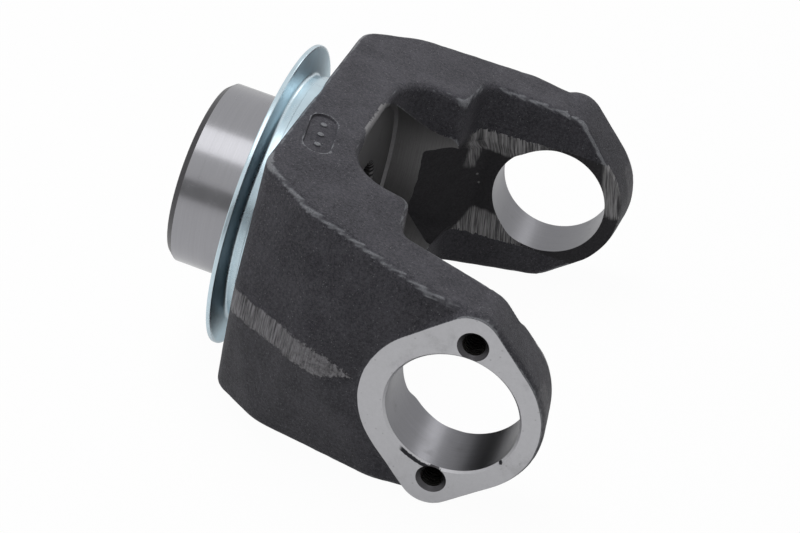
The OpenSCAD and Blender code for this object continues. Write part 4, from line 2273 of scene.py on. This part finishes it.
@dataclass
class Studio:
    """The pale floor, the soft lights and the camera at the photograph's angle."""

    shop: MeshShop
    floor_half: float = 2.5
    camera_place: Point3 = (0.10939, -0.60451, 0.36893)
    camera_aim: Point3 = (-0.04036, -0.02175, 0.01121)
    camera_roll_deg: float = 2.81
    camera_lens: float = 80.96
    camera_chip: float = 36.0
    floor_glow: float = 0.97
    floor_mirrored: float = 0.5
    flag_half: float = 1.2
    flag_y: float = -1.7
    flag_span: tuple[float, float] = (-0.04, 0.62)
    flag_grey: Colour = (0.80, 0.80, 0.80)
    sky: float = 0.22
    floor_grey: float = 0.55
    lamps: tuple[Lamp, ...] = (
        Lamp("key", (-0.30, 0.25, 1.0), (0.0, 0.0, 0.0), 0.75, 12.0),
        Lamp("front", (0.15, -1.1, 0.35), (0.0, 0.0, 0.0), 0.6, 1.5),
        Lamp("left", (-1.0, -0.45, 0.45), (-0.05, 0.0, 0.0), 0.35, 1.5),
        Lamp("window", (-0.05, -0.38, 1.05), (-0.05, 0.0, 0.0), 0.62, 1.55, in_metal=True),
        Lamp("back window", (0.37, 0.85, 0.64), (0.0, -0.08, -0.02), 0.35, 0.85, in_metal=True),
    )

    def build(self, floor_z: float) -> None:
        """Sets the stage.

        Args:
            floor_z: The height of the floor.
        """
        self._floor(floor_z)
        self._world()
        for lamp in self.lamps:
            self._hang(lamp)
        self._flag()
        self._camera()
        bpy.context.scene.view_settings.view_transform = "Standard"

    def _seen(self, sheet: NodeSheet) -> tuple[Signal, Signal]:
        """Whether the camera sees the floor itself, and whether metal mirrors it.

        Args:
            sheet: The sheet that the answer is used in.

        Returns:
            Both answers, as 0 or 1.
        """
        path = sheet.node("ShaderNodeLightPath")
        camera, glossy, through = (
            Signal(sheet, path.outputs[k]) for k in ("Is Camera Ray", "Is Glossy Ray", "Is Transmission Ray")
        )
        return camera, glossy.most(through)

    def _floor(self, floor_z: float) -> None:
        """A pale floor that glows white to the camera and keeps the object's shadow.

        Args:
            floor_z: The height of the floor.
        """
        half = self.floor_half
        ring = [(-half, -half), (half, -half), (half, half), (-half, half)]
        mesh = bpy.data.meshes.new("floor")
        mesh.from_pydata(level(ring, floor_z), [], [(0, 1, 2, 3)])
        floor = self.shop.show("floor", mesh)
        sheet = FinishSheet("floor")
        pale = sheet.node("ShaderNodeBsdfDiffuse", {}, {"Color": (self.floor_grey,) * 3})
        glow = sheet.node("ShaderNodeEmission", {}, {"Color": (1.0, 1.0, 1.0)})
        camera, mirrored = self._seen(sheet)
        factor = camera * self.floor_glow + (1.0 - camera) * mirrored * self.floor_mirrored
        links = {0: factor, 1: pale.outputs[0], 2: glow.outputs[0]}
        sheet.show(sheet.node("ShaderNodeMixShader", {}, links))
        mesh.materials.append(sheet.material)
        floor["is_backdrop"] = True

    def _world(self) -> None:
        """A bright world to the camera and in mirrors, and a softer one as light."""
        world = bpy.data.worlds.new("studio")
        bpy.context.scene.world = world
        sheet = NodeSheet(world, "ShaderNodeOutputWorld")
        camera, mirrored = self._seen(sheet)
        links = {"Value": camera.most(mirrored), "To Min": self.sky, "To Max": 1.0}
        strength = sheet.signal("ShaderNodeMapRange", {}, links)
        sheet.show(sheet.node("ShaderNodeBackground", {}, {"Strength": strength}))

    def _flag(self) -> None:
        """A grey card behind the camera, which only the metal's reflections see."""
        low, high = self.flag_span
        corners = [(-self.flag_half, self.flag_y, low), (self.flag_half, self.flag_y, low)]
        corners += [(self.flag_half, self.flag_y, high), (-self.flag_half, self.flag_y, high)]
        mesh = bpy.data.meshes.new("grey_card")
        mesh.from_pydata(corners, [], [(0, 1, 2, 3)])
        card = self.shop.show("grey_card", mesh)
        sheet = FinishSheet("grey card")
        mesh.materials.append(sheet.finish(Base_Color=self.flag_grey, Roughness=1.0, Specular_IOR_Level=0.0))
        card.visible_camera = False
        card.visible_diffuse = False
        card.visible_shadow = False
        card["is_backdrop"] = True

    def _hang(self, lamp: Lamp) -> None:
        """Hangs one lamp.

        Args:
            lamp: The lamp.
        """
        light = bpy.data.lights.new(lamp.name, "AREA")
        light.shape = "SQUARE"
        light.size = lamp.size
        light.energy = lamp.power
        hung = bpy.data.objects.new(lamp.name, light)
        hung.location = lamp.place
        hung.visible_glossy = lamp.in_metal
        hung.rotation_euler = (Vector(lamp.aim) - Vector(lamp.place)).to_track_quat("-Z", "Y").to_euler()
        self.shop.collection.objects.link(hung)

    def _camera(self) -> None:
        """Puts the camera where the photograph was taken from."""
        lens = bpy.data.cameras.new("camera")
        lens.lens = self.camera_lens
        lens.sensor_width = self.camera_chip
        lens.clip_start = 0.01
        camera = bpy.data.objects.new("camera", lens)
        look = (Vector(self.camera_aim) - Vector(self.camera_place)).to_track_quat("-Z", "Y")
        roll = Matrix.Rotation(math.radians(self.camera_roll_deg), 4, "Z")
        turned = look.to_matrix().to_4x4() @ roll
        camera.matrix_world = Matrix.Translation(self.camera_place) @ turned
        self.shop.collection.objects.link(camera)
        bpy.context.scene.camera = camera


def note_size(sizes: dict[str, list[list[float]]], moment: str) -> None:
    """Adds the shown object's present bounds to the size notes.

    Args:
        sizes: The notes so far, which get this one.
        moment: Its name in the notes.
    """
    low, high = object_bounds()
    sizes[moment] = [list(low), list(high)]


def main() -> None:
    """Loads the frame and builds the yoke, the slinger and the studio."""
    logging.basicConfig(level=logging.INFO, format="%(name)s: %(message)s")
    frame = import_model()
    notes: dict[str, list[list[float]]] = {}
    note_size(notes, "cad")
    record = frame["record"]
    sizes = YokeSizes.from_record(record)
    lie = Lie.from_record(record)
    shop = MeshShop()
    yoke = YokeMaker(sizes, shop, lie).build()
    LOG.info("forged yoke: %d faces", len(yoke.data.polygons))
    ring = SlingerMaker(sizes, shop, lie).build()
    LOG.info("plated slinger: %d faces", len(ring.data.polygons))
    Studio(shop).build(min(corner[2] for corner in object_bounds()))
    note_size(notes, "visual")


if __name__ == "__main__":
    main()
